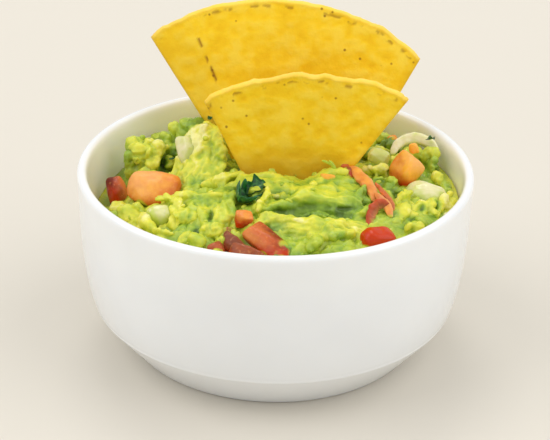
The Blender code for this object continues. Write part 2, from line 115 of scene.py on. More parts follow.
# Chunks of avocado that lie on the core, by region: middle x, y, z; half sizes; turn about X, Y, Z (deg);
# tone from 0, deep green, to 1, pale yellow; how crumbly; how streaked along its length
CHUNKS = {
    "left": (
        ((-39.0, 17.0, 48.4), (6.4, 5.0, 5.2), (0, 0, 0), 0.64, 1.0, 0.0),
        ((-42.6, 18.6, 51.2), (2.2, 2.2, 2.2), (0, 10, 10), 0.50, 1.3, 0.0),
        ((-38.6, 18.4, 51.8), (2.2, 2.2, 2.0), (0, -8, 30), 0.72, 1.3, 0.0),
        ((-34.9, 17.4, 51.0), (2.4, 2.2, 2.2), (10, 0, 0), 0.86, 1.2, 0.0),
        ((-41.2, 13.6, 48.6), (2.2, 2.0, 2.2), (0, 12, 50), 0.64, 1.3, 0.0),
        ((-36.6, 12.8, 48.2), (2.4, 2.2, 2.2), (0, 12, 50), 0.72, 1.3, 0.0),
        ((-43.9, 15.4, 47.8), (1.9, 2.4, 3.4), (0, 0, 0), 0.30, 1.2, 0.0),
        ((-38.8, 11.6, 45.8), (2.4, 2.0, 2.2), (0, 0, 20), 0.66, 1.3, 0.0),
        ((-32.8, 25.2, 49.8), (3.0, 3.0, 3.4), (0, 0, 20), 0.44, 1.2, 0.0),
        ((-29.4, 24.8, 52.2), (3.0, 3.0, 3.4), (0, -20, 10), 0.54, 1.2, 0.0),
        ((-26.0, 23.6, 54.4), (3.0, 3.0, 3.4), (0, -24, 0), 0.34, 1.1, 0.0),
        ((-22.6, 22.6, 56.0), (3.2, 3.0, 3.2), (0, -10, -20), 0.22, 0.9, 0.0),
        ((-31.2, 22.4, 47.6), (3.2, 3.0, 3.4), (0, 10, -20), 0.50, 1.1, 0.0),
        ((-27.6, 23.0, 49.4), (4.2, 4.0, 4.6), (0, 10, -20), 0.50, 1.1, 0.0),
        ((-33.0, 33.0, 45.0), (5.0, 5.0, 4.6), (0, 0, 20), 0.42, 1.2, 0.0),
        ((-24.6, 31.6, 49.0), (5.4, 5.0, 4.8), (0, -14, 10), 0.50, 1.1, 0.0),
        ((-12.6, 4.4, 47.4), (4.0, 4.6, 3.2), (-10, 8, 20), 0.20, 0.8, 0.0),
        ((-30.0, 6.0, 45.0), (4.0, 4.6, 3.6), (-10, -14, 20), 0.70, 0.9, 0.0),
    ),
    "front_left": (
        ((-40.0, -10.8, 42.2), (5.6, 5.8, 3.4), (0, 10, -26), 0.62, 0.9, 0.0),
        ((-45.8, -4.6, 41.4), (3.6, 4.0, 3.0), (0, 10, -10), 0.84, 0.8, 0.0),
        ((-36.0, -17.4, 42.0), (5.0, 5.0, 3.4), (0, 8, 30), 0.62, 0.9, 0.0),
        ((-34.4, -11.6, 43.6), (3.6, 3.6, 3.2), (0, 8, 30), 0.66, 0.9, 0.0),
        ((-30.6, -25.6, 41.6), (5.0, 4.4, 3.2), (0, 6, 30), 0.60, 0.8, 0.0),
        ((-29.4, -12.2, 46.0), (3.2, 2.8, 2.8), (0, 10, 20), 0.66, 0.9, 0.3),
        ((-27.2, -16.4, 45.8), (4.4, 3.4, 2.6), (20, 0, 30), 0.64, 0.8, 0.3),
        ((-21.8, -12.6, 47.6), (3.6, 2.6, 2.2), (10, 0, -8), 0.34, 0.6, 0.3),
        ((-24.4, -27.8, 42.6), (4.6, 3.4, 3.0), (0, 2, 14), 0.58, 0.7, 0.3),
    ),
    "centre": (
        ((12.4, -30.6, 46.2), (4.0, 3.2, 3.2), (6, 0, -8), 0.90, 0.8, 0.2),
        ((20.6, -28.8, 46.6), (3.2, 3.4, 3.0), (0, 4, 20), 0.80, 1.1, 0.0),
        ((24.6, -26.4, 45.6), (3.2, 3.0, 3.2), (0, 0, 0), 0.66, 1.1, 0.0),
        ((18.8, -31.6, 44.0), (3.4, 2.8, 2.6), (0, 0, 0), 0.58, 1.0, 0.0),
        ((24.2, -18.4, 48.2), (3.6, 3.6, 3.0), (0, 0, 20), 0.24, 0.6, 0.6),
        ((24.6, -12.0, 49.4), (2.8, 4.2, 3.0), (0, 0, 10), 0.30, 0.6, 0.6),
        ((-9.6, -2.4, 49.6), (4.4, 3.0, 2.6), (0, 6, 10), 0.60, 0.7, 0.3),
        ((-7.0, -16.0, 47.2), (3.0, 4.0, 2.6), (6, 0, 30), 0.40, 0.6, 0.3),
    ),
    "right": (
        ((30.0, 7.6, 48.4), (4.6, 3.6, 3.0), (0, 0, 10), 0.72, 1.0, 0.0),
        ((30.4, 1.2, 46.8), (4.6, 4.4, 3.4), (0, 0, 10), 0.30, 0.9, 0.0),
        ((34.0, -3.6, 47.8), (3.6, 3.4, 3.0), (0, 0, 10), 0.24, 0.9, 0.3),
        ((37.4, -9.6, 47.0), (4.0, 3.0, 3.0), (0, 6, 24), 0.66, 1.0, 0.3),
        ((31.6, -9.0, 46.4), (3.0, 4.6, 2.8), (0, 6, 24), 0.40, 0.9, 0.3),
        ((41.4, -15.0, 45.6), (3.6, 2.6, 3.0), (0, 10, 30), 0.80, 0.8, 0.0),
        ((34.6, -16.2, 44.8), (3.4, 2.8, 2.8), (0, 10, 30), 0.50, 0.8, 0.0),
        ((38.0, -21.4, 44.6), (5.0, 4.0, 3.0), (0, 4, 30), 0.48, 1.0, 0.0),
        ((44.0, -18.6, 44.0), (3.4, 3.2, 2.6), (0, 4, 30), 0.30, 0.9, 0.0),
        ((33.8, -24.4, 44.8), (3.2, 2.4, 2.6), (0, 4, 30), 0.94, 0.5, 0.0),
        ((50.2, -6.2, 45.6), (2.0, 4.2, 2.6), (0, 0, -14), 0.70, 0.7, 0.0),
        ((50.2, 3.6, 45.4), (2.4, 4.6, 3.6), (0, 0, 0), 0.44, 0.8, 0.0),
        ((46.4, 14.6, 47.6), (2.6, 3.6, 4.0), (0, 8, 16), 0.34, 1.1, 0.0),
        ((45.6, 18.6, 49.4), (2.6, 2.4, 3.2), (0, 8, 16), 0.48, 1.1, 0.0),
        ((34.2, 24.6, 49.6), (3.0, 3.4, 3.4), (0, 0, 0), 0.16, 1.0, 0.0),
        ((30.8, 19.4, 49.8), (3.2, 2.8, 2.6), (0, 0, 20), 0.56, 1.0, 0.0),
        ((36.6, 12.6, 48.6), (3.4, 2.8, 2.6), (0, 0, 20), 0.70, 0.9, 0.0),
        ((41.0, 18.6, 49.8), (4.4, 2.8, 3.8), (0, 0, 0), 0.66, 0.8, 0.3),
        ((45.8, 17.4, 49.8), (3.2, 2.8, 4.2), (0, 8, 0), 0.56, 0.9, 0.3),
        ((35.6, 15.8, 49.4), (2.8, 2.4, 3.0), (0, 0, 0), 0.74, 0.7, 0.0),
        ((38.6, 4.0, 45.4), (3.8, 3.4, 3.0), (0, 0, -20), 0.44, 0.9, 0.0),
        ((35.8, -13.2, 47.6), (2.8, 2.4, 2.4), (0, 20, 40), 0.30, 1.1, 0.2),
        ((38.6, -16.6, 47.2), (2.4, 2.2, 2.2), (0, 20, 40), 0.78, 1.1, 0.2),
        ((33.8, -20.8, 46.6), (2.8, 2.6, 2.4), (20, 0, 10), 0.44, 1.2, 0.0),
        ((37.4, -25.6, 45.0), (3.0, 2.6, 2.4), (20, 0, 10), 0.66, 1.2, 0.0),
        ((41.8, -18.8, 46.0), (2.6, 2.4, 2.4), (0, 0, 40), 0.40, 1.2, 0.0),
        ((45.6, -13.6, 46.0), (2.2, 3.0, 2.6), (0, 0, 30), 0.62, 1.1, 0.3),
        ((29.8, 3.6, 48.8), (2.4, 2.2, 2.2), (0, 0, 10), 0.62, 1.2, 0.0),
        ((33.6, 0.8, 48.4), (2.2, 2.0, 2.4), (0, 0, 30), 0.46, 1.2, 0.0),
        ((31.4, -5.2, 48.6), (2.2, 2.4, 2.2), (0, 0, 30), 0.56, 1.1, 0.2),
        ((35.0, 8.6, 49.4), (2.2, 2.0, 2.0), (0, 0, 30), 0.50, 1.2, 0.0),
    ),
    "back": (
        ((-8.0, 33.0, 51.4), (6.4, 5.6, 4.8), (0, -6, -10), 0.46, 1.0, 0.0),
        ((2.0, 34.0, 50.4), (6.0, 5.4, 4.8), (0, 4, 12), 0.66, 0.9, 0.3),
        ((-15.0, 37.6, 48.8), (5.2, 4.6, 4.6), (0, -8, 20), 0.56, 1.0, 0.0),
        ((13.0, 37.0, 49.6), (6.0, 4.8, 4.4), (0, 4, -10), 0.40, 1.0, 0.0),
        ((22.4, 36.0, 49.2), (5.0, 4.6, 4.2), (0, 4, 24), 0.62, 0.9, 0.0),
        ((31.0, 31.0, 48.2), (5.4, 5.0, 4.4), (0, 4, -30), 0.52, 1.0, 0.0),
        ((40.0, 27.6, 46.8), (4.2, 4.0, 4.0), (0, 6, 20), 0.44, 0.9, 0.0),
        ((-24.0, 41.0, 45.4), (5.0, 4.4, 4.4), (0, -6, 0), 0.58, 0.9, 0.0),
        ((3.0, 45.0, 46.0), (6.4, 3.6, 3.6), (0, 0, 0), 0.50, 0.9, 0.0),
        ((20.0, 44.0, 46.4), (5.6, 3.6, 3.8), (0, 4, -14), 0.42, 0.9, 0.0),
        ((0.0, 22.0, 48.4), (9.0, 6.0, 4.6), (0, 4, -14), 0.42, 0.9, 0.0),
        ((16.0, 24.0, 48.4), (7.0, 6.0, 4.6), (0, 4, -14), 0.52, 0.9, 0.0),
    ),
}
CHUNK_FACES = 9                   # flat sides from which each chunk is rounded
CHUNK_POWER = 5.0

# Swept sheets of avocado, by the region they melt into: curves from back to front, each with its tone and
# points x, y, z from left to right
SHEETS = {
    "left": (
        (0.60, ((-27.4, 20.0, 54.0), (-24.0, 20.6, 57.4), (-20.4, 20.6, 58.6), (-16.6, 20.6, 57.0))),
        (0.90, ((-27.8, 16.4, 55.6), (-24.4, 16.0, 58.4), (-21.2, 15.8, 60.0), (-16.8, 15.2, 58.4))),
        (1.00, ((-29.0, 13.0, 52.6), (-25.6, 12.0, 55.2), (-21.4, 12.0, 56.6), (-16.2, 12.0, 55.6))),
        (0.80, ((-30.6, 10.0, 49.0), (-26.4, 7.8, 51.8), (-21.6, 7.4, 53.0), (-15.6, 7.8, 52.6))),
        (0.60, ((-30.4, 6.4, 46.8), (-26.0, 3.6, 49.0), (-21.4, 2.6, 50.2), (-15.4, 3.4, 51.0))),
        (0.66, ((-29.6, 2.0, 45.2), (-25.4, -0.6, 46.6), (-21.0, -1.4, 48.0), (-14.6, -0.6, 50.0))),
        (0.50, ((-29.0, -2.0, 43.6), (-25.0, -4.6, 45.0), (-20.8, -5.4, 46.6), (-14.0, -4.6, 48.0))),
    ),
    "front_left": (
        (0.60, ((-32.0, -7.0, 45.6), (-27.4, -6.6, 47.2), (-22.0, -6.0, 48.4), (-16.6, -5.4, 49.6), (-11.6, -5.0, 50.4))),
        (0.70, ((-31.2, -11.6, 47.0), (-26.4, -11.8, 48.4), (-21.6, -12.4, 49.2), (-16.6, -12.6, 49.6), (-11.8, -12.6, 49.8))),
        (0.60, ((-31.4, -17.6, 45.6), (-26.8, -17.8, 46.4), (-21.8, -18.6, 46.6), (-16.8, -19.4, 47.4), (-12.0, -19.8, 48.0))),
        (0.30, ((-30.4, -22.8, 44.2), (-25.8, -22.8, 43.0), (-21.8, -23.4, 42.4), (-17.4, -24.2, 45.8), (-12.4, -24.6, 46.6))),
        (0.60, ((-30.0, -27.4, 43.4), (-26.0, -27.4, 43.8), (-22.4, -27.6, 44.4), (-17.8, -28.0, 45.0), (-12.8, -28.6, 45.4))),
        (0.40, ((-29.0, -33.4, 40.6), (-25.0, -33.6, 41.0), (-21.6, -33.8, 41.2), (-17.6, -34.0, 41.4), (-13.4, -33.8, 41.6))),
    ),
    "centre": (
        (0.48, (
            (-9.0, -1.4, 51.6), (-4.0, -1.2, 52.0), (3.4, -1.0, 52.2), (9.4, -1.0, 50.8), (14.7, -1.0, 54.0),
            (20.0, -1.0, 52.8), (26.0, -3.0, 51.4))),
        (0.62, (
            (-8.8, -5.6, 52.6), (-3.9, -6.6, 52.6), (1.5, -6.6, 52.8), (6.8, -8.2, 52.8), (13.0, -7.8, 53.8),
            (19.0, -8.0, 53.4), (25.4, -9.0, 51.8))),
        (0.60, (
            (-6.4, -11.0, 50.8), (-1.6, -12.4, 50.6), (2.7, -13.2, 49.2), (7.2, -12.8, 53.6), (12.4, -13.0, 53.6),
            (18.2, -13.2, 52.8), (25.2, -12.6, 51.4))),
        (0.70, (
            (-6.2, -18.0, 50.0), (-1.2, -19.4, 50.8), (3.8, -18.6, 52.8), (8.0, -17.2, 54.0), (12.2, -17.6, 53.8),
            (17.8, -18.4, 52.8), (25.0, -16.4, 51.4))),
        # these two low-toned curves are the groove's face and floor: painted shade under the overhanging flesh,
        # together with the darker green flesh from next to the skin
        (0.24, (
            (-5.4, -19.8, 49.4), (-0.2, -20.2, 49.2), (4.2, -20.0, 49.6), (8.8, -19.2, 50.0), (13.4, -19.2, 49.8),
            (18.4, -19.8, 49.6), (26.2, -18.4, 49.8))),
        (0.26, (
            (-4.8, -21.0, 48.6), (0.6, -21.2, 46.6), (4.4, -21.8, 46.0), (9.8, -22.2, 46.0), (15.4, -22.0, 46.4),
            (19.8, -21.8, 49.0), (27.2, -20.2, 48.4))),
        (0.76, (
            (-4.2, -22.0, 50.6), (0.4, -23.4, 51.0), (4.6, -25.2, 51.0), (9.4, -26.2, 51.0), (13.4, -25.8, 51.0),
            (18.8, -25.8, 49.6), (26.4, -23.4, 48.2))),
        (0.68, (
            (-4.8, -24.4, 48.6), (0.2, -26.6, 48.6), (5.0, -29.0, 48.2), (10.0, -30.6, 48.6), (14.6, -30.4, 48.6),
            (20.4, -29.4, 48.0), (26.8, -26.4, 46.8))),
        (0.50, (
            (-4.8, -25.4, 46.4), (0.6, -28.4, 46.2), (4.8, -31.2, 45.4), (8.8, -32.8, 45.0), (15.0, -33.4, 44.8),
            (20.4, -32.8, 44.8), (26.8, -29.8, 44.2))),
        (0.20, (
            (-4.2, -24.6, 42.4), (1.0, -27.4, 42.0), (5.2, -30.0, 41.6), (9.2, -31.6, 41.0), (15.0, -32.4, 41.0),
            (20.2, -32.0, 41.0), (26.6, -29.2, 41.0))),
    ),
}
GRAIN = {"left": 72, "front_left": 84, "centre": -6, "right": 58, "back": 10}   # smearing, deg from +X
SHEET_ROWS = 8                    # steps between curves
SHEET_COLUMNS = 90
SHEET_DEPTH = 7.0 * MM

# Folds and smears of avocado, by the region they melt into: points x, y, z along each; radius; tone
FOLDS = {
    "centre": (
        (((-1.6, -9.4, 52.6), (-2.6, -14.0, 52.2), (-4.0, -18.0, 51.2), (-5.0, -21.2, 49.8)), 0.9, 0.86),
        (((-8.6, -1.2, 51.0), (-3.0, -2.6, 52.4), (2.6, -3.2, 52.4)), 1.1, 0.80),
        (((10.6, -1.6, 51.0), (13.6, -3.4, 53.4), (17.4, -3.6, 54.4), (20.6, -3.4, 54.4)), 1.0, 0.70),
        (((24.0, -21.0, 49.6), (26.6, -18.6, 50.8), (29.4, -17.6, 50.6)), 1.0, 0.56),
        (((23.0, -14.0, 51.6), (24.6, -11.6, 52.4), (25.6, -9.4, 53.2)), 1.0, 0.40),
    ),
    "front_left": (
        (((-24.6, -13.4, 48.6), (-23.4, -18.0, 47.8), (-23.6, -21.6, 45.6)), 1.3, 0.40),
        (((-28.6, -14.4, 47.6), (-28.0, -19.0, 46.4), (-28.4, -24.0, 44.8)), 1.7, 0.82),
        (((-12.6, -10.4, 49.6), (-13.2, -16.0, 49.2), (-14.2, -21.6, 47.6), (-15.0, -26.0, 45.6)), 2.0, 0.60),
        (((-17.0, -17.0, 49.0), (-16.2, -20.4, 48.6), (-16.4, -24.0, 47.4), (-17.4, -28.2, 45.4)), 1.0, 0.74),
        (((-21.6, -17.0, 48.2), (-20.2, -20.4, 47.8), (-19.4, -24.4, 46.6), (-20.4, -29.0, 44.6)), 0.9, 0.56),
        (((-23.6, -20.0, 46.6), (-22.8, -24.4, 45.4), (-23.4, -29.0, 44.2)), 0.8, 0.66),
        (((-37.8, -15.4, 45.4), (-36.0, -21.2, 45.2), (-32.4, -24.8, 44.8), (-28.4, -25.8, 44.6)), 1.2, 0.66),
        (((-34.4, -11.8, 48.4), (-30.2, -12.6, 49.2), (-27.2, -15.6, 48.8), (-26.6, -20.2, 47.4)), 1.2, 0.70),
        (((-30.6, -10.8, 47.4), (-26.0, -10.6, 48.8), (-20.0, -11.4, 49.6), (-15.0, -11.8, 50.2)), 1.2, 0.64),
        (((-27.0, -27.6, 43.8), (-23.6, -27.6, 44.8), (-20.4, -28.6, 44.6)), 1.4, 0.70),
    ),
    "left": (
        (((-19.6, 0.0, 49.0), (-15.4, 0.4, 49.8), (-12.2, 1.0, 50.2), (-8.8, 1.6, 50.4)), 1.2, 0.84),
        (((-18.6, 14.0, 57.8), (-17.0, 10.0, 54.6), (-15.4, 7.4, 51.8)), 1.4, 0.56),
    ),
    "right": (
        (((42.0, -15.2, 46.4), (44.0, -11.0, 47.6), (46.2, -6.8, 48.0)), 1.3, 0.62),
        (((46.4, -13.4, 45.8), (48.2, -8.6, 47.2), (50.6, -3.4, 48.2)), 1.1, 0.74),
        (((34.2, -10.8, 48.6), (37.0, -8.0, 49.6), (39.4, -5.2, 49.8)), 1.3, 0.76),
        (((37.4, -14.6, 47.4), (40.2, -12.6, 48.2), (42.0, -9.4, 48.4)), 1.3, 0.78),
        (((27.0, 7.0, 50.6), (30.0, 6.0, 51.2), (33.6, 7.4, 50.6)), 1.2, 0.80),
        (((34.6, -22.0, 46.6), (36.4, -17.6, 47.8), (37.0, -13.0, 48.8)), 1.2, 0.60),
    ),
}
# Patches of tone on the avocado: middle x, y, z; half sizes; tone; strength. The darkest are painted shade,
# in the groove under the overhanging flesh, in gaps between lumps and along the front where the heap meets
# the bowl; the others make the flesh paler or greener in patches.
TONE_AND_SHADE_PATCHES = (
    ((9.0, -39.6, 43.6), (11.0, 2.4, 3.0), -0.1, 0.9),
    ((3.0, -36.6, 44.6), (4.0, 2.6, 3.0), -0.2, 0.9),
    ((11.4, -34.0, 46.6), (3.6, 3.4, 3.0), 0.66, 0.8),
    ((-27.4, 12.0, 54.0), (3.0, 4.0, 4.0), 1.15, 0.7),
    ((-45.0, 17.0, 49.0), (1.6, 6.0, 4.0), 0.20, 0.7),
    ((-30.6, 21.0, 48.5), (1.4, 2.6, 1.6), -0.1, 0.8),
    ((-33.2, 17.0, 46.5), (1.4, 3.0, 2.2), -0.4, 0.9),
    ((-33.5, 12.0, 45.5), (1.4, 2.0, 1.4), -0.4, 0.9),
    ((-22.6, 22.0, 58.0), (5.0, 3.0, 2.6), 0.10, 0.6),
    ((-22.0, 0.6, 47.6), (2.6, 1.6, 1.6), 0.10, 0.5),
    ((-18.2, 4.6, 50.6), (1.0, 1.6, 1.2), 0.10, 0.5),
    ((-13.0, 7.6, 49.0), (3.2, 3.2, 3.0), -0.2, 0.9),
    ((-21.6, -12.8, 49.2), (3.0, 2.0, 1.6), 0.24, 0.7),
    ((-25.6, -23.2, 44.4), (2.8, 1.8, 1.8), 0.0, 0.8),
    ((-21.9, -25.0, 44.6), (1.1, 1.8, 1.6), -0.5, 1.0),
    ((-18.1, -22.0, 46.6), (0.7, 5.0, 3.0), -0.1, 0.9),
    ((-33.0, -19.6, 46.0), (3.4, 3.4, 3.0), 1.1, 0.7),
    ((-26.0, -12.4, 48.5), (3.0, 1.8, 1.6), 0.8, 0.5),
    ((-8.6, -9.0, 50.8), (2.6, 2.6, 2.0), 0.1, 0.6),
    ((2.4, -14.4, 49.6), (4.4, 2.2, 1.5), 0.05, 0.9),
    ((9.0, -20.2, 50.0), (10.6, 2.2, 1.8), 0.12, 0.9),
    ((18.2, -20.0, 50.0), (1.2, 1.4, 1.2), -0.4, 1.0),
    ((4.6, -21.6, 48.4), (7.0, 1.0, 1.2), -0.4, 1.0),
    ((4.0, -10.4, 52.8), (5.0, 2.2, 1.2), 0.88, 0.8),
    ((12.0, -30.8, 48.4), (3.0, 2.4, 2.0), 0.86, 0.6),
    ((5.0, -30.2, 47.2), (4.0, 1.8, 1.2), 0.40, 0.6),
    ((24.4, -14.6, 51.2), (3.8, 5.0, 3.2), 0.24, 0.9),
    ((22.0, -29.0, 48.4), (3.0, 2.6, 2.0), 0.80, 0.5),
    ((30.4, 0.6, 49.6), (3.0, 2.6, 2.0), 0.1, 0.6),
    ((35.6, -3.8, 50.0), (2.2, 1.8, 2.0), 0.15, 0.7),
    ((35.8, -12.4, 47.0), (2.4, 1.8, 1.4), -0.25, 0.9),
    ((43.4, -9.6, 47.0), (1.6, 2.0, 1.4), -0.1, 0.9),
    ((43.0, -18.4, 46.4), (3.0, 2.0, 2.0), 0.2, 0.5),
    ((33.4, -17.6, 47.6), (1.8, 1.8, 1.8), 0.05, 0.9),
    ((38.8, -18.8, 47.0), (2.0, 1.4, 1.8), 0.0, 0.9),
    ((36.0, -6.4, 48.6), (1.6, 1.4, 1.8), 0.05, 0.9),
    ((46.2, -9.8, 47.4), (1.4, 2.4, 1.8), 0.1, 0.9),
    ((41.8, -12.8, 47.4), (1.4, 1.6, 1.8), 0.0, 0.9),
    ((37.0, -22.6, 45.6), (2.2, 1.4, 1.8), 0.1, 0.8),
    ((44.6, -15.8, 45.8), (1.6, 1.6, 1.6), 0.1, 0.8),
    ((49.6, -8.8, 47.5), (1.6, 3.0, 3.0), 1.1, 0.7),
    ((48.0, 12.6, 48.0), (1.8, 3.0, 3.0), 0.05, 0.7),
    ((34.4, 25.6, 52.0), (2.8, 3.0, 2.0), 0.12, 0.7),
)
# Fine strands that stand free on the heap
STRANDS = (
    (((19.6, -3.8, 53.8), (17.2, -3.3, 54.8), (16.4, -3.2, 56.4), (15.2, -3.2, 57.9)), 0.55, 0.66),
    (((16.3, -3.2, 56.4), (14.8, -3.0, 57.2), (13.2, -3.1, 57.8)), 0.45, 0.62),
)

# ---- chips: sectors of a fried round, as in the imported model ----
CHIP_THICKNESS = 1.9 * MM
CHIP_TIP_RADIUS = 5.0 * MM
CHIP_EDGE = 1.0 * MM              # width over which the edge is rounded
CHIPS = {
    # tip x, y, z; left side, middle, right side; half angle, lean, roll, turn (deg); bend; fold (deg)
    "chip_back": ((6.7, 5.2, 18.5), (82.3, 79.6, 73.5), 31.6, 20.0, -3.3, 3.0, 2.4, 10.0),
    "chip_front": ((3.1, -0.5, 26.2), (53.0, 55.3, 60.3), 31.8, 6.0, 4.1, 0.0, 1.0, 0.0),
}
CHIP_FLAP_ANGLE = 22.0
CHIP_CORNER = 1.0 * MM
CHIP_ROWS = 170
CHIP_COLUMNS = 170

# ---- diced pieces: length, width, height; turn about X, Y, Z (deg); squareness; cuts, each the direction
# that a cut faces and its distance from the middle as a share of the half size ----
DICE = {
    "tomato_far_left": ((5.6, 7.8, 9.0), (10, -12, 12), 5, ((0.5, -0.6, 0.7, 0.85), (-0.8, -0.5, 0.5, 0.95))),
    "tomato_left": (
        (15.0, 11.0, 8.6), (8, 3, -6), 7,
        ((0.0, -0.5, 0.86, 0.78), (-0.75, -0.5, 0.4, 0.80), (0.6, -0.6, 0.5, 0.92), (-0.5, -0.5, -0.7, 0.86),
         (0.5, -0.5, -0.7, 0.84)),
    ),
    "tomato_front": (
        (15.6, 7.2, 5.0), (25, 18, -46), 14,
        ((0.0, -0.6, 0.8, 0.98), (-0.3, 0.6, 0.7, 0.96)),
    ),
    "tomato_front_top": ((4.6, 4.0, 3.8), (14, 6, 10), 10, ((0.7, -0.4, -0.6, 0.85), (-0.6, -0.7, 0.3, 1.0))),
    "tomato_front_right": ((9.8, 7.4, 7.4), (12, 8, 27), 3, ()),
    "tomato_right": (
        (9.0, 9.0, 10.0), (6, 4, 41), 8,
        ((0.75, 0.0, 0.66, 0.80), (-0.75, 0.1, 0.66, 0.78), (0.0, -0.7, 0.7, 0.84), (0.6, -0.6, -0.5, 0.86)),
    ),
    "onion_left_back": ((6.0, 4.8, 8.6), (-22, -8, 16), 9, ((0.5, -0.6, 0.6, 0.8), (-0.7, -0.5, 0.5, 0.75))),
    "onion_left_front": ((8.4, 7.4, 7.8), (28, -6, 14), 3, ((0.6, -0.5, 0.6, 0.8), (-0.5, -0.7, 0.5, 0.9))),
    "onion_by_chip": ((6.2, 4.2, 3.8), (10, 12, -14), 4, ((0.5, -0.6, 0.6, 0.9),)),
    "onion_right": ((12.8, 8.8, 6.8), (8, 10, -22), 3, ((0.5, -0.5, 0.7, 0.9), (-0.7, -0.4, 0.6, 0.9))),
}
DICE_ROWS = 48
DICE_COLUMNS = 72
# Further bits of tomato: middle x, y, z; length, width, height; turn; ripeness; share with skin
TOMATO_BITS = (
    ((20.9, -3.2, 53.2), (3.2, 2.4, 5.2), (-20, 12, 20), 0.1, 0.6),
    ((20.4, 1.8, 53.2), (2.8, 3.0, 3.4), (0, 10, 50), 0.5, 0.9),
    ((-11.4, -32.6, 44.8), (9.4, 5.0, 4.6), (34, 16, -44), -0.1, 0.3),
    ((-7.6, -37.0, 43.6), (12.0, 6.0, 4.6), (26, 8, -30), 0.1, 0.9),
    ((-15.4, -33.6, 43.8), (5.6, 5.0, 3.6), (16, 0, 40), 0.2, 0.4),
    ((-13.2, -27.0, 45.4), (4.2, 4.0, 3.4), (20, 0, 10), 0.1, 0.8),
    ((15.0, -7.0, 54.2), (4.4, 2.0, 1.6), (26, 4, -8), 1.0, 0.0),
    ((40.6, 11.4, 55.6), (2.8, 2.4, 2.8), (0, 0, 30), 1.0, 0.0),
    ((35.4, 26.6, 51.0), (3.4, 3.0, 2.8), (0, 0, 30), 0.8, 0.0),
    ((-6.0, 38.6, 54.0), (8.0, 6.4, 6.0), (10, 6, 30), 0.5, 0.3),
    ((24.0, 40.6, 50.6), (9.0, 6.0, 6.4), (6, 10, -20), 0.4, 0.5),
)
# Strips of tomato: points x, y, z along each; width, thickness; direction that the broad side faces;
# ripeness; share with skin
TOMATO_STRIPS = (
    (
        ((20.4, 3.8, 52.6), (22.2, 0.0, 53.8), (25.0, -4.6, 53.0), (27.4, -9.6, 51.8), (28.2, -14.0, 50.4)),
        3.9, 1.7, (0.3, -0.6, 0.7), 0.74, 0.0,
    ),
    (
        ((28.8, -5.4, 52.2), (30.8, -9.8, 51.4), (32.6, -13.4, 50.6), (33.8, -17.0, 49.0)),
        3.0, 1.2, (0.7, -0.5, 0.5), 0.34, 0.25,
    ),
    (
        ((28.4, -11.8, 52.0), (30.2, -14.6, 51.4), (31.8, -17.4, 50.2), (32.8, -20.4, 48.6)),
        2.6, 1.2, (0.2, -0.8, 0.5), 0.55, 0.0,
    ),
    (
        ((32.4, -16.8, 50.4), (29.8, -17.2, 51.4), (27.8, -18.8, 50.6), (26.8, -21.0, 49.2), (26.8, -23.8, 47.2)),
        3.4, 1.3, (0.3, -0.8, 0.3), 0.1, 0.5,
    ),
)
ONION_ARCH = ((34.4, 16.8, 50.4), (36.6, 20.6, 52.8), (41.0, 22.8, 53.6), (45.8, 22.0, 52.4), (48.6, 19.2, 50.2))
# Small bits of onion that show: middle x, y; the height comes from the heap
ONION_PLACES = ((31.6, 14.4), (48.8, -12.8))
SWEEP_STEPS = 60
SWEEP_SIDES = 24

# ---- camera and light ----
SKY = 0.69
# Lamps: the direction that each lies in; its share of the light; the angle that it spans (deg)
LAMPS = {
    "left": ((-0.80, -0.08, 0.85), 0.74, 50),
    "right": ((0.85, -0.08, 0.85), 0.78, 60),
    "low_left": ((-0.66, -0.75, 0.08), 0.19, 50),
    "low_right": ((0.66, -0.75, 0.08), 0.19, 50),
    "back": ((-0.10, 0.60, 1.00), 0.40, 24),
}
CAMERA_ELEVATION = math.radians(27.0)
CAMERA_DISTANCE = 0.575
CAMERA_AIM_HEIGHT = 36.7 * MM
CAMERA_ROLL = math.radians(1.24)
CAMERA_LENS = 128.2
CAMERA_SHIFT = 0.0006


def linear(code):
    """The linear red, green and blue of an sRGB hex code."""
    parts = [int(code[i:i + 2], 16) / 255 for i in (1, 3, 5)]
    return tuple(c / 12.92 if c <= 0.04045 else ((c + 0.055) / 1.055) ** 2.4 for c in parts)


def colour_property(name, description, code):
    return FloatVectorProperty(
        name=name, description=description, subtype="COLOR", size=3, min=0.0, max=1.0, default=linear(code)
    )


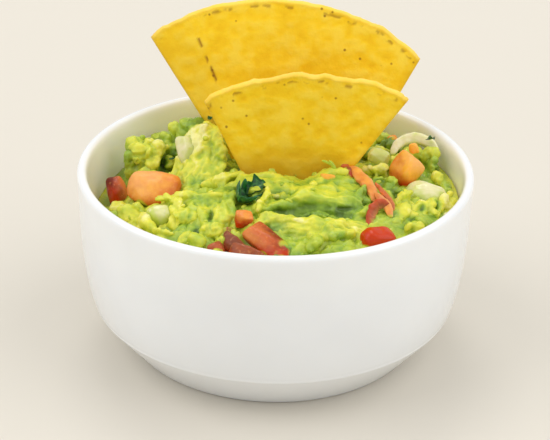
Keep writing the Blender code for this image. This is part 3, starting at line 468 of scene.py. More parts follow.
class GuacamoleSettings(bpy.types.PropertyGroup):
    """Sizes and colours that a user would change."""

    lip_thickness: FloatProperty(
        name="Lip thickness", description="Thickness of the bowl's round lip", unit="LENGTH", default=2.8 * MM
    )
    foot_recess: FloatProperty(
        name="Foot recess", description="Depth of the hollow inside the foot ring", unit="LENGTH",
        default=1.2 * MM,
    )
    relief: FloatProperty(
        name="Relief", description="Height of the lumps on the avocado's surface", unit="LENGTH",
        default=1.1 * MM,
    )
    fill_count: IntProperty(name="Small chunks", description="Small chunks of avocado", default=95, min=0)
    crumb_count: IntProperty(name="Crumbs", description="Crumbs melted into the heap", default=150, min=0)
    loose_count: IntProperty(name="Loose crumbs", description="Crumbs that lie on the heap", default=60, min=0)
    onion_count: IntProperty(name="Onion bits", description="Small bits of onion", default=12, min=0)
    leaf_count: IntProperty(name="Herb flecks", description="Chopped bits of leaf", default=18, min=0)
    blister: FloatProperty(
        name="Blister", description="Height of the blisters on the chips", unit="LENGTH", default=0.3 * MM
    )
    porcelain: colour_property("Porcelain", "Glaze", "#EDEFF0")
    avocado_deep: colour_property("Deep green", "Avocado next to its skin", "#587622")
    avocado_green: colour_property("Green", "Outer flesh of the avocado", "#90B034")
    avocado_lime: colour_property("Yellow-green", "Middle flesh of the avocado", "#B8C83A")
    avocado_yellow: colour_property("Yellow", "Inner flesh of the avocado", "#DFDC42")
    avocado_pale: colour_property("Pale", "Flesh next to the stone", "#ECE896")
    tortilla: colour_property("Tortilla", "Fried corn", "#F9CE22")
    tomato_flesh: colour_property("Tomato flesh", "Cut tomato", "#C65420")
    tomato_skin: colour_property("Tomato skin", "Skin of the tomato", "#C43808")
    onion: colour_property("Onion", "White onion", "#E8E0B8")
    leaf: colour_property("Leaf", "Coriander leaf", "#1D5A30")
    floor: colour_property("Floor", "Ground that the bowl stands on", "#D9D3C7")
    light: FloatProperty(name="Light", description="Strength of the strongest lamp", default=1.25, min=0.0)


# ---- noise: all as whole arrays ----

def eased(t):
    """Runs from 0 to 1 with no slope at either end: 3t^2 - 2t^3."""
    return t * t * (3 - 2 * t)


def hashed(cell, seed):
    """A number from 0 to 1 for each whole-numbered cell, from its products with large primes."""
    mixed = (cell[..., 0] * 73856093) ^ (cell[..., 1] * 19349663) ^ (cell[..., 2] * 83492791)
    mixed = mixed ^ (seed * 49979693 + 12345)
    mixed = ((mixed ^ (mixed >> 13)) * 1274126177) & 0xFFFFFFFF
    mixed = ((mixed ^ (mixed >> 15)) * 668265263) & 0xFFFFFFFF
    return ((mixed ^ (mixed >> 16)) & 0xFFFFFF) / 0xFFFFFF


def smooth_noise(points, seed):
    """From -1 to 1: hashed numbers at the corners of unit cells, blended across each cell."""
    cell = np.floor(points).astype(np.int64)
    t = eased(points - cell)
    total = np.zeros(points.shape[:-1])
    for corner in itertools.product((0, 1), repeat=3):
        weight = np.prod(np.where(corner, t, 1 - t), axis=-1)
        total += weight * hashed(cell + np.array(corner), seed)
    return 2 * total - 1


def fractal(points, octaves, seed):
    """Sum of noise, each octave twice as fine and half as high as the last."""
    return sum(smooth_noise(points * 2 ** k + 17.3 * k, seed + k) / 2 ** k for k in range(octaves))


def grains(points, seed):
    """Rounded grains: 1 at one random point of each unit cell, less the distance to the nearest such point."""
    cell = np.floor(points).astype(np.int64)
    nearest = np.full(points.shape[:-1], 9.0)
    for step in itertools.product((-1, 0, 1), repeat=3):
        near = cell + np.array(step)
        grain = near + np.stack([hashed(near, seed + k) for k in range(3)], -1)
        nearest = np.minimum(nearest, ((points - grain) ** 2).sum(-1))
    return 1 - np.sqrt(nearest)


# ---- meshes ----

def grid_quads(rows, columns, closed=False):
    """Quads between neighbours of a rows by columns grid, as an array; closed joins last column to first."""
    i = np.arange(rows - 1)[:, None]
    j = np.arange(columns if closed else columns - 1)[None, :]
    k = (j + 1) % columns
    quads = np.stack([i * columns + j, i * columns + k, (i + 1) * columns + k, (i + 1) * columns + j], -1)
    return quads.reshape(-1, 4)


def capped(rows, columns):
    """Faces of rings of points closed by one point at each end: quads, then triangles.

    The points are rows * columns ring points, then the first end's and the last end's.
    """
    j = np.arange(columns)
    k = (j + 1) % columns
    first = np.stack([np.full(columns, rows * columns), k, j], -1)
    last = (rows - 1) * columns
    second = np.stack([np.full(columns, rows * columns + 1), last + j, last + k], -1)
    return grid_quads(rows, columns, closed=True), np.concatenate([first, second])


def joined(shapes):
    """Points, quads, triangles and attributes of several shapes as one."""
    points, quads, triangles = [], [], []
    start = 0
    for shape in shapes:
        points.append(shape["points"])
        quads.append(shape["quads"] + start)
        triangles.append(shape["triangles"] + start)
        start += len(shape["points"])
    whole = {"points": np.concatenate(points), "quads": np.concatenate(quads)}
    whole["triangles"] = np.concatenate(triangles)
    names = [name for name in shapes[0] if name not in whole]
    whole.update({name: np.concatenate([shape[name] for shape in shapes]) for name in names})
    return whole


def fill_mesh(mesh, shape):
    """Puts a shape's points and faces into an empty mesh."""
    points = shape["points"]
    faces = [shape["quads"], shape["triangles"]]
    corners = np.concatenate([f.ravel() for f in faces])
    sizes = np.concatenate([np.full(len(f), f.shape[1]) for f in faces])
    mesh.vertices.add(len(points))
    mesh.vertices.foreach_set("co", points.astype(np.float32).ravel())
    mesh.loops.add(len(corners))
    mesh.loops.foreach_set("vertex_index", corners.astype(np.int32))
    mesh.polygons.add(len(sizes))
    mesh.polygons.foreach_set("loop_start", (np.cumsum(sizes) - sizes).astype(np.int32))
    mesh.polygons.foreach_set("loop_total", sizes.astype(np.int32))
    mesh.update(calc_edges=True)


def add_piece(name, shape, material, replaced=()):
    """Makes a shape a piece, with its attributes, shaded smooth, and lets it ride on the body."""
    mesh = bpy.data.meshes.new(name)
    fill_mesh(mesh, shape)
    for key, values in shape.items():
        if key not in ("points", "quads", "triangles"):
            made = mesh.attributes.new(key, "FLOAT", "POINT")
            made.data.foreach_set("value", values.astype(np.float32))
    mesh.shade_smooth()
    mesh.materials.append(material)
    piece = bpy.data.objects.new(name, mesh)
    bpy.context.scene.collection.objects.link(piece)
    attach(piece, BODY)
    if replaced:
        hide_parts(*replaced)
    return piece


def rotation(degrees):
    """Turn about X, then Y, then Z, as a 3 by 3 array."""
    return np.array(Euler([math.radians(d) for d in degrees]).to_matrix())


def middle(node):
    low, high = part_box(node)
    return np.array((low + high) / 2)


# ---- nodes ----

def join(tree, node, inputs):
    """Sets a node's inputs, by name or place: a socket is linked, any other value is set."""
    for key, value in inputs.items():
        if isinstance(value, bpy.types.NodeSocket):
            tree.links.new(value, node.inputs[key])
        else:
            node.inputs[key].default_value = value


def add(tree, kind, inputs, stops=None, **settings):
    """Adds one node with its settings, inputs and, on a colour ramp, its stops."""
    node = tree.nodes.new(kind)
    for key, value in settings.items():
        setattr(node, key, value)
    if stops:
        ramp = node.color_ramp.elements
        while len(ramp) < len(stops):
            ramp.new(0.5)
        for element, (place, colour) in zip(ramp, stops):
            element.position = place
            element.color = (*colour, 1.0)
    join(tree, node, inputs)
    return node


def blank_material(name, **uniform):
    """A Principled material whose uniform numbers are set on the shader's own sockets."""
    material = bpy.data.materials.new(name)
    material.use_nodes = True
    tree = material.node_tree
    shader = tree.nodes["Principled BSDF"]
    for key, value in uniform.items():
        shader.inputs[key.replace("_", " ").title().replace("Ior", "IOR")].default_value = value
    return material, tree, shader


def glazed_porcelain(settings):
    """White porcelain under a clear gloss glaze: soft reflections, and a bare, matt foot ring."""
    material, tree, shader = blank_material(
        "glazed_porcelain", ior=1.5, coat_weight=0.5, coat_roughness=0.12, subsurface_weight=0.3
    )
    shader.inputs["Subsurface Radius"].default_value = (1.0, 0.9, 0.8)
    shader.inputs["Subsurface Scale"].default_value = 6.0 * MM
    place = add(tree, "ShaderNodeTexCoord", {}).outputs["Object"]
    cloud = add(tree, "ShaderNodeTexNoise", {"Vector": place, "Scale": 1 / (22 * MM), "Detail": 2.0})
    glaze = tuple(settings.porcelain)
    shade = tuple(c * 0.965 for c in glaze)
    tint = add(tree, "ShaderNodeValToRGB", {"Fac": cloud.outputs["Fac"]}, stops=[(0.3, shade), (0.7, glaze)])
    bare = add(tree, "ShaderNodeAttribute", {}, attribute_name="bare").outputs["Fac"]
    colour = add(
        tree, "ShaderNodeMix", {0: bare, 6: tint.outputs["Color"], 7: (*linear("#E4DFD2"), 1.0)},
        data_type="RGBA",
    )
    # painted warm light: the inside is given a creamier white, standing in for the warm light thrown back onto it from
    # the chips and the guacamole
    inside = add(tree, "ShaderNodeAttribute", {}, attribute_name="inside").outputs["Fac"]
    colour = add(
        tree, "ShaderNodeMix", {0: inside, 6: colour.outputs[2], 7: (*linear("#FBF3E6"), 1.0)}, data_type="RGBA"
    )
    rough = add(tree, "ShaderNodeMapRange", {"Value": bare, "To Min": 0.24, "To Max": 0.7})
    # glaze pools in waves about 20 mm across and too low to see but in the reflections
    bump = add(tree, "ShaderNodeBump", {"Height": cloud.outputs["Fac"], "Strength": 0.3, "Distance": 0.15 * MM})
    join(tree, shader, {
        "Base Color": colour.outputs[2], "Roughness": rough.outputs["Result"], "Normal": bump.outputs["Normal"],
    })
    return material


def mashed_avocado(settings):
    """Ripe avocado, mashed and wet: painted yellower on the crests as painted light, and greener and darker in the
    crevices as painted shade.

    Light goes a few millimetres into it. A wet film gives small soft highlights.
    """
    material, tree, shader = blank_material(
        "mashed_avocado", specular_ior_level=0.35, coat_weight=0.22, coat_roughness=0.2, subsurface_weight=0.3
    )
    shader.inputs["Subsurface Radius"].default_value = (1.0, 0.9, 0.25)
    shader.inputs["Subsurface Scale"].default_value = 1.2 * MM
    place = add(tree, "ShaderNodeTexCoord", {}).outputs["Object"]
    tone = add(tree, "ShaderNodeAttribute", {}, attribute_name="tone").outputs["Fac"]
    depth = add(tree, "ShaderNodeAttribute", {}, attribute_name="depth").outputs["Fac"]
    # patches of flesh about 5 mm across and flecks about 1 mm across shift the tone
    patch = add(tree, "ShaderNodeTexNoise", {"Vector": place, "Scale": 1 / (5 * MM), "Detail": 3.0})
    fleck = add(tree, "ShaderNodeTexNoise", {"Vector": place, "Scale": 1 / (1.1 * MM), "Detail": 3.0})
    shift = add(tree, "ShaderNodeMath", {0: patch.outputs["Fac"], 1: 0.5, 2: tone}, operation="MULTIPLY_ADD")
    shift = add(tree, "ShaderNodeMath", {0: fleck.outputs["Fac"], 1: 0.25, 2: shift.outputs[0]}, operation="MULTIPLY_ADD")
    shift = add(tree, "ShaderNodeMath", {0: shift.outputs[0], 1: 0.39}, operation="SUBTRACT")
    stops = [
        (0.0, tuple(settings.avocado_deep)), (0.3, tuple(settings.avocado_green)),
        (0.55, tuple(settings.avocado_lime)), (0.82, tuple(settings.avocado_yellow)),
        (1.0, tuple(settings.avocado_pale)),
    ]
    flesh = add(tree, "ShaderNodeValToRGB", {"Fac": shift.outputs[0]}, stops=stops)
    # painted shade: the deeper a point lies in a crevice, the darker and browner its flesh is painted
    stain_and_shade = add(tree, "ShaderNodeValToRGB", {"Fac": depth}, stops=[
        (0.0, (1.0, 1.0, 1.0)), (0.4, (0.80, 0.84, 0.60)), (1.0, (0.34, 0.38, 0.12)),
    ])
    colour = add(
        tree, "ShaderNodeMix", {0: 1.0, 6: flesh.outputs["Color"], 7: stain_and_shade.outputs["Color"]},
        data_type="RGBA", blend_type="MULTIPLY",
    )
    rough = add(tree, "ShaderNodeMapRange", {"Value": fleck.outputs["Fac"], "To Min": 0.3, "To Max": 0.6})
    bump = add(tree, "ShaderNodeBump", {"Height": fleck.outputs["Fac"], "Strength": 0.5, "Distance": 0.25 * MM})
    join(tree, shader, {
        "Base Color": colour.outputs[2], "Roughness": rough.outputs["Result"], "Normal": bump.outputs["Normal"],
    })
    return material


def fried_tortilla(settings):
    """Corn tortilla fried crisp: matt and faintly oily, with pale blisters and brown flecks; paler along the arc
    as painted light on the top edge, and darker and browner low down as painted shade where it stands in the heap.
    """
    material, tree, shader = blank_material(
        "fried_corn_tortilla", specular_ior_level=0.14, subsurface_weight=0.1
    )
    shader.inputs["Subsurface Radius"].default_value = (1.0, 0.6, 0.1)
    shader.inputs["Subsurface Scale"].default_value = 1.0 * MM
    place = add(tree, "ShaderNodeTexCoord", {}).outputs["Object"]
    blister = add(tree, "ShaderNodeAttribute", {}, attribute_name="blister").outputs["Fac"]
    rim = add(tree, "ShaderNodeAttribute", {}, attribute_name="rim").outputs["Fac"]
    toast_and_shade = add(tree, "ShaderNodeAttribute", {}, attribute_name="toast_and_shade").outputs["Fac"]
    scorch = add(tree, "ShaderNodeAttribute", {}, attribute_name="scorch").outputs["Fac"]
    base = tuple(settings.tortilla)
    blotch = add(tree, "ShaderNodeTexNoise", {"Vector": place, "Scale": 1 / (3.6 * MM), "Detail": 2.0})
    grit = add(tree, "ShaderNodeTexNoise", {"Vector": place, "Scale": 1 / (0.7 * MM), "Detail": 2.0})
    both = add(tree, "ShaderNodeMath", {0: blister, 1: 0.5, 2: blotch.outputs["Fac"]}, operation="MULTIPLY_ADD")
    tint = add(tree, "ShaderNodeValToRGB", {"Fac": both.outputs[0]}, stops=[
        (0.3, linear("#F1C016")), (0.65, base), (1.0, linear("#FBD740")),
    ])
    # painted light: a paler band along the arc, where the chip's top edge catches the light
    rimmed = add(
        tree, "ShaderNodeMix", {0: rim, 6: tint.outputs["Color"], 7: (*linear("#FDD766"), 1.0)}, data_type="RGBA"
    )
    # browner low on the chip, where it stands in the heap, as painted shade, and browner along the sides and over the
    # flap
    toasted_and_shaded = add(
        tree, "ShaderNodeMix", {0: toast_and_shade, 6: rimmed.outputs[2], 7: (*linear("#C6961E"), 1.0)}, data_type="RGBA"
    )
    # specks of charred germ, about 0.6 mm across, in some of the cells of 4.5 mm
    cells = add(tree, "ShaderNodeTexVoronoi", {"Vector": place, "Scale": 1 / (4.5 * MM)})
    near = add(tree, "ShaderNodeMapRange", {
        "Value": cells.outputs["Distance"], "From Min": 0.05, "From Max": 0.12, "To Min": 0.8, "To Max": 0.0,
    })
    chosen = add(tree, "ShaderNodeMath", {0: cells.outputs["Color"], 1: 0.5}, operation="GREATER_THAN")
    speck = add(tree, "ShaderNodeMath", {0: near.outputs["Result"], 1: chosen.outputs[0]}, operation="MULTIPLY")
    specked = add(
        tree, "ShaderNodeMix", {0: speck.outputs[0], 6: toasted_and_shaded.outputs[2], 7: (*linear("#8A5A14"), 1.0)},
        data_type="RGBA",
    )
    charred = add(
        tree, "ShaderNodeMix", {0: scorch, 6: specked.outputs[2], 7: (*linear("#8A5216"), 1.0)}, data_type="RGBA"
    )
    bump = add(tree, "ShaderNodeBump", {"Height": grit.outputs["Fac"], "Strength": 0.6, "Distance": 0.15 * MM})
    rough = add(tree, "ShaderNodeMapRange", {"Value": grit.outputs["Fac"], "To Min": 0.45, "To Max": 0.75})
    join(tree, shader, {
        "Base Color": charred.outputs[2], "Roughness": rough.outputs["Result"], "Normal": bump.outputs["Normal"],
    })
    return material


def raw_tomato(settings):
    """Diced raw tomato: wet flesh from red to orange-yellow with paler flecks, and smooth red skin."""
    material, tree, shader = blank_material(
        "raw_tomato", specular_ior_level=0.2, coat_weight=0.18, coat_roughness=0.18, subsurface_weight=0.2
    )
    shader.inputs["Subsurface Radius"].default_value = (1.0, 0.45, 0.2)
    shader.inputs["Subsurface Scale"].default_value = 1.2 * MM
    place = add(tree, "ShaderNodeTexCoord", {}).outputs["Object"]
    skin, pale, ripe = (
        add(tree, "ShaderNodeAttribute", {}, attribute_name=name).outputs["Fac"] for name in ("skin", "pale", "ripe")
    )
    vein = add(tree, "ShaderNodeTexNoise", {"Vector": place, "Scale": 1 / (1.6 * MM), "Detail": 3.0})
    shift = add(tree, "ShaderNodeMath", {0: vein.outputs["Fac"], 1: 0.36, 2: ripe}, operation="MULTIPLY_ADD")
    shift = add(tree, "ShaderNodeMath", {0: shift.outputs[0], 1: 0.18}, operation="SUBTRACT")
    flesh = add(tree, "ShaderNodeValToRGB", {"Fac": shift.outputs[0]}, stops=[
        (0.0, linear("#701A08")), (0.4, tuple(settings.tomato_flesh)), (0.7, linear("#DC7C22")),
        (1.0, linear("#F4AE34")),
    ])
    # paler where the pale attribute is high: the flesh's own paler side on the strips, and painted light on the tops of
    # the dice and bits
    paled = add(
        tree, "ShaderNodeMix", {0: pale, 6: flesh.outputs["Color"], 7: (*linear("#F0B26A"), 1.0)}, data_type="RGBA"
    )
    # flecks of paler flesh about 1 mm across
    fleck = add(tree, "ShaderNodeTexNoise", {"Vector": place, "Scale": 1 / (0.9 * MM), "Detail": 1.0})
    spot = add(tree, "ShaderNodeMapRange", {
        "Value": fleck.outputs["Fac"], "From Min": 0.58, "From Max": 0.72, "To Max": 0.22,
    })
    flecked = add(tree, "ShaderNodeMix", {
        0: spot.outputs["Result"], 6: paled.outputs[2], 7: (*linear("#F0AE6C"), 1.0),
    }, data_type="RGBA")
    skinned = add(
        tree, "ShaderNodeMix", {0: skin, 6: flecked.outputs[2], 7: (*settings.tomato_skin, 1.0)}, data_type="RGBA"
    )
    smear = add(tree, "ShaderNodeAttribute", {}, attribute_name="smear").outputs["Fac"]
    colour = add(
        tree, "ShaderNodeMix", {0: smear, 6: skinned.outputs[2], 7: (*settings.avocado_lime, 1.0)}, data_type="RGBA"
    )
    rough = add(tree, "ShaderNodeMapRange", {"Value": skin, "To Min": 0.42, "To Max": 0.25})
    bump = add(tree, "ShaderNodeBump", {"Height": vein.outputs["Fac"], "Strength": 0.4, "Distance": 0.4 * MM})
    join(tree, shader, {
        "Base Color": colour.outputs[2], "Roughness": rough.outputs["Result"], "Normal": bump.outputs["Normal"],
    })
    return material


def raw_onion(settings):
    """Chopped white onion: wet, milky and translucent, with the faint lines of its layers."""
    material, tree, shader = blank_material(
        "raw_white_onion", ior=1.38, roughness=0.28, coat_weight=0.4, coat_roughness=0.15, subsurface_weight=0.6
    )
    shader.inputs["Subsurface Radius"].default_value = (1.0, 1.0, 0.7)
    shader.inputs["Subsurface Scale"].default_value = 2.5 * MM
    place = add(tree, "ShaderNodeTexCoord", {}).outputs["Object"]
    # veins run through each layer about 0.8 mm apart
    turned = add(tree, "ShaderNodeMapping", {"Vector": place, "Rotation": (0.4, 0.3, 0.6), "Scale": (0.25, 1.0, 0.25)})
    line = add(tree, "ShaderNodeTexNoise", {"Vector": turned.outputs["Vector"], "Scale": 1 / (0.9 * MM), "Detail": 1.0})
    stain_and_shade = add(tree, "ShaderNodeTexNoise", {"Vector": place, "Scale": 1 / (3.5 * MM), "Detail": 2.0})
    white = tuple(settings.onion)
    tint = add(tree, "ShaderNodeValToRGB", {"Fac": line.outputs["Fac"]}, stops=[
        (0.35, tuple(a * b for a, b in zip(white, (0.90, 0.93, 0.80)))), (0.6, white),
    ])
    green = add(tree, "ShaderNodeMapRange", {"Value": stain_and_shade.outputs["Fac"], "From Min": 0.5, "From Max": 0.72, "To Max": 0.6})
    tinted = add(
        tree, "ShaderNodeMix", {0: green.outputs["Result"], 6: tint.outputs["Color"], 7: (*linear("#CBD46A"), 1.0)},
        data_type="RGBA",
    )
    smear = add(tree, "ShaderNodeAttribute", {}, attribute_name="smear").outputs["Fac"]
    colour = add(
        tree, "ShaderNodeMix", {0: smear, 6: tinted.outputs[2], 7: (*settings.avocado_lime, 1.0)}, data_type="RGBA"
    )
    bump = add(tree, "ShaderNodeBump", {"Height": line.outputs["Fac"], "Strength": 0.3, "Distance": 0.2 * MM})
    join(tree, shader, {"Base Color": colour.outputs[2], "Normal": bump.outputs["Normal"]})
    return material


def chopped_coriander(settings):
    """Fresh coriander leaf, wet: dark green, with lighter veins and a soft gloss."""
    material, tree, shader = blank_material(
        "chopped_coriander", ior=1.4, roughness=0.4, coat_weight=0.3, coat_roughness=0.2, subsurface_weight=0.15
    )
    shader.inputs["Subsurface Radius"].default_value = (0.3, 1.0, 0.2)
    shader.inputs["Subsurface Scale"].default_value = 0.8 * MM
    place = add(tree, "ShaderNodeTexCoord", {}).outputs["Object"]
    vein = add(tree, "ShaderNodeAttribute", {}, attribute_name="vein").outputs["Fac"]
    mottle = add(tree, "ShaderNodeTexNoise", {"Vector": place, "Scale": 1 / (1.5 * MM), "Detail": 2.0})
    leaf = tuple(settings.leaf)
    tint = add(tree, "ShaderNodeValToRGB", {"Fac": mottle.outputs["Fac"]}, stops=[
        (0.35, tuple(c * 0.45 for c in leaf)), (0.65, leaf),
    ])
    colour = add(tree, "ShaderNodeMix", {0: vein, 6: tint.outputs["Color"], 7: (*linear("#5E9A4A"), 1.0)}, data_type="RGBA")
    bump = add(tree, "ShaderNodeBump", {"Height": mottle.outputs["Fac"], "Strength": 0.4, "Distance": 0.2 * MM})
    join(tree, shader, {"Base Color": colour.outputs[2], "Normal": bump.outputs["Normal"]})
    return material


def matt_board(settings):
    """Plain painted board: matt, so the bowl's shadow is all that shows on it."""
    material, tree, shader = blank_material("matt_board", roughness=0.9, specular_ior_level=0.1)
    join(tree, shader, {"Base Color": (*settings.floor, 1.0)})
    return material



@lru_cache(maxsize=None)
def finish_of(maker):
    """Each material is made once."""
    return maker(bpy.context.scene.guacamole)


# ---- bowl ----

def outer_radius(z):
    """Outer wall above the crease: widens quickly at the belly, flares slightly at the lip."""
    s = (z - CREASE_HEIGHT) / (BOWL_HEIGHT - CREASE_HEIGHT)
    belly = BELLY_SHARE * (1 - (1 - s) ** BELLY_POWER)
    flare = (1 - BELLY_SHARE) * s ** FLARE_POWER
    return CREASE_RADIUS + (RIM_RADIUS - CREASE_RADIUS) * (belly + flare)


def inner_radius(z, lip):
    """Inner wall: the outer wall less its thickness, with an elliptic corner down to the floor."""
    s = np.clip((z - INNER_CORNER_TOP) / (BOWL_HEIGHT - INNER_CORNER_TOP), 0, 1)
    wall = outer_radius(np.maximum(z, INNER_CORNER_TOP)) - WALL_THICKNESS + (WALL_THICKNESS - lip) * s ** 3
    depth = np.clip((INNER_CORNER_TOP - z) / (INNER_CORNER_TOP - BOWL_FLOOR), 0, 1)
    return wall - INNER_CORNER_REACH * (1 - np.sqrt(1 - depth ** 2))


def arc(centre, radius, start, end, steps):
    """Points of a circle's arc in the profile's plane, angles in degrees."""
    a = np.radians(np.linspace(start, end, steps))
    return np.stack([centre[0] + radius * np.cos(a), centre[1] + radius * np.sin(a)], -1)


def bowl_profile(lip, recess):
    """Radius and height from the base's middle, round the foot, up the wall, over the lip, to the floor."""
    ring = 3.2 * MM
    ring_inner = BASE_RADIUS - 1.4 * MM - ring
    under = [(ring_inner - 5.0 * MM, recess), (ring_inner - 2.0 * MM, recess), (ring_inner - 0.8 * MM, 0.8 * recess)]
    foot = [(ring_inner, 0.05 * MM), (ring_inner + 0.6 * MM, 0.0), (BASE_RADIUS - 1.6 * MM, 0.0)]
    heel = arc((BASE_RADIUS - 1.6 * MM, 1.7 * MM), 1.7 * MM, -75, -35, 6)
    slope = math.degrees(math.atan2(CREASE_HEIGHT, CREASE_RADIUS - BASE_RADIUS))
    easing = 1.5 * MM
    crease = arc((CREASE_RADIUS - easing, CREASE_HEIGHT + 0.35 * MM), easing, slope - 90, 0, 7)
    lip_start = BOWL_HEIGHT - 0.5 * lip
    z = np.linspace(CREASE_HEIGHT + 1.0 * MM, lip_start, 46)
    wall = np.stack([outer_radius(z), z], -1)
    lip_arc = arc((outer_radius(lip_start) - 0.5 * lip, lip_start), 0.5 * lip, 0, 180, 15)[1:-1]
    z = np.linspace(lip_start, INNER_CORNER_TOP, 24)
    inside = np.stack([inner_radius(z, lip), z], -1)
    z = BOWL_FLOOR + (INNER_CORNER_TOP - BOWL_FLOOR) * (1 - np.sin(np.linspace(0, 0.5 * math.pi, 20)[1:]))
    corner = np.stack([inner_radius(z, lip), z], -1)
    return np.concatenate([under, foot, heel, crease, wall, lip_arc, inside, corner])


def make_bowl(settings):
    """A lathe: the profile turned about +Z, its ends closed by one point on the axis each."""
    profile = bowl_profile(settings.lip_thickness, settings.foot_recess)
    a = np.linspace(0, 2 * math.pi, BOWL_STEPS, endpoint=False)
    rings = np.stack([
        profile[:, :1] * np.cos(a), profile[:, :1] * np.sin(a), np.broadcast_to(profile[:, 1:], (len(profile), BOWL_STEPS)),
    ], -1).reshape(-1, 3)
    ends = np.array([(0, 0, profile[0, 1]), (0, 0, profile[-1, 1])])
    points = np.concatenate([rings, ends])
    quads, triangles = capped(len(profile), BOWL_STEPS)
    bare = (points[:, 2] < 0.06 * MM).astype(float)
    within = outer_radius(np.maximum(points[:, 2], CREASE_HEIGHT)) - np.hypot(points[:, 0], points[:, 1])
    # where the inside is painted creamier, as painted warm light thrown back from the food
    inside = np.clip(within / MM - 2.0, 0, 1) * (points[:, 2] > BOWL_FLOOR - 0.1 * MM)
    shape = {"points": points, "quads": quads, "triangles": triangles, "bare": bare, "inside": inside}
    add_piece("porcelain_bowl", shape, finish_of(glazed_porcelain), ["bowl"])


# ---- guacamole ----

def mean_level(x, y):
    """Height of the heap: level rising to +X, a crown, and the broad swells."""
    rho = np.hypot(x, y) / (RIM_RADIUS - WALL_THICKNESS)
    z = EDGE_LEVEL + LEVEL_RISE_X * x / RIM_RADIUS + CROWN * np.clip(1 - rho ** 2, 0, 1)
    for mx, my, half_x, half_y, degrees, rise in SWELLS:
        a = math.radians(degrees)
        u = ((x - mx * MM) * math.cos(a) + (y - my * MM) * math.sin(a)) / (half_x * MM)
        v = (-(x - mx * MM) * math.sin(a) + (y - my * MM) * math.cos(a)) / (half_y * MM)
        z = z + rise * MM * np.exp(-(u * u + v * v) ** 1.5)
    return z


def billows(points, octaves, seed):
    """Pillows with creases between them: the sum of the noise's size, each octave finer and lower."""
    return sum(np.abs(smooth_noise(points * 1.9 ** k + 17.3 * k, seed + k)) / 2.3 ** k for k in range(octaves))


def flesh_relief(points, crumbly, seed):
    """Relief of mashed flesh, in units of the relief's height: broad pillows, then crumbs 3 mm, 1.5 mm and
    0.9 mm wide.

    The places are first shifted by noise, so that the pillows bend and differ.
    """
    bent = points + 1.4 * MM * np.stack([smooth_noise(points / (3.0 * MM), seed + 20 + k) for k in range(3)], -1)
    pillows = 1.6 * billows(bent / (5.2 * MM), 3, seed)
    coarse = grains(bent / (3.0 * MM), seed + 5) + 0.7 * grains(bent / (1.5 * MM), seed + 9)
    coarse = coarse + 0.4 * grains(bent / (0.9 * MM), seed + 13)
    return pillows - 0.7 + (0.25 + crumbly) * (0.6 * coarse - 0.5)


@lru_cache(maxsize=None)
def core_shape(relief):
    """The heap's top: a square grid bent to a disc, x = u sqrt(1 - v^2/2) and y likewise, with its underside
    down the bowl's inside."""
    t = np.linspace(-1, 1, CORE_STEPS)
    u, v = np.meshgrid(t, t)
    disc = np.stack([u * np.sqrt(1 - v * v / 2), v * np.sqrt(1 - u * u / 2)], -1)
    edge = inner_radius(np.float64(EDGE_LEVEL), 2.8 * MM) - WALL_GAP
    flat = disc * edge
    x, y = flat[..., 0], flat[..., 1]
    rho = np.hypot(x, y) / edge
    z = mean_level(x, y) - CORE_DEPTH
    points = np.stack([x, y, z], -1)
    lift = flesh_relief(points, 1.0, 11) * relief * np.clip(4 * (1 - rho), 0.25, 1)
    points[..., 2] += lift
    points[..., 0] += 0.5 * relief * fractal(points / (3 * MM), 2, 31) * np.clip(5 * (1 - rho), 0, 1)
    top = points.reshape(-1, 3)
    count = CORE_STEPS
    index = np.arange(count * count).reshape(count, count)
    border = np.concatenate([index[0, :-1], index[:-1, -1], index[-1, :0:-1], index[:0:-1, 0]])
    angle = np.arctan2(top[border, 1], top[border, 0])
    heights = np.linspace(36 * MM, BOWL_FLOOR + 0.5 * MM, 8)
    rings = []
    for z in heights:
        radius = inner_radius(z, 2.8 * MM) - WALL_GAP
        rings.append(np.stack([radius * np.cos(angle), radius * np.sin(angle), np.full(len(angle), z)], -1))
    lower = np.concatenate(rings + [[(0, 0, heights[-1])]])
    start = count * count
    ring_quads = grid_quads(len(heights), len(border), closed=True)[:, ::-1] + start
    j = np.arange(len(border))
    k = (j + 1) % len(border)
    first = np.stack([border[j], start + j, start + k, border[k]], -1)
    last = start + (len(heights) - 1) * len(border)
    triangles = np.stack([np.full(len(j), start + len(lower) - 1), last + k, last + j], -1)
    points = np.concatenate([top, lower])
    tone = patched_with_tone_and_shade(points, 0.50 + 0.22 * fractal(points / (9 * MM), 2, 71))
    quads = np.concatenate([grid_quads(count, count), first, ring_quads])
    shape = {"points": points, "quads": quads, "triangles": triangles}
    shape["hollow"] = hollowness(shape)
    # painted light and shade: the tone is lowered, greener, in the hollows and raised, yellower, on the crests
    shape["tone"] = tone - 0.20 * shape["hollow"]
    return shape


@lru_cache(maxsize=None)
def ball(rows, columns):
    """Directions over a ball as rings about X with a pole at each end, and its faces."""
    polar = math.pi * (np.arange(rows) + 0.5) / rows
    round_x = 2 * math.pi * np.arange(columns) / columns
    ring = np.sin(polar)[:, None]
    x = np.broadcast_to(np.cos(polar)[:, None], (rows, columns))
    directions = np.stack([x, ring * np.cos(round_x), ring * np.sin(round_x)], -1).reshape(-1, 3)
    directions = np.concatenate([directions, [(1, 0, 0), (-1, 0, 0)]])
    return directions, *capped(rows, columns)


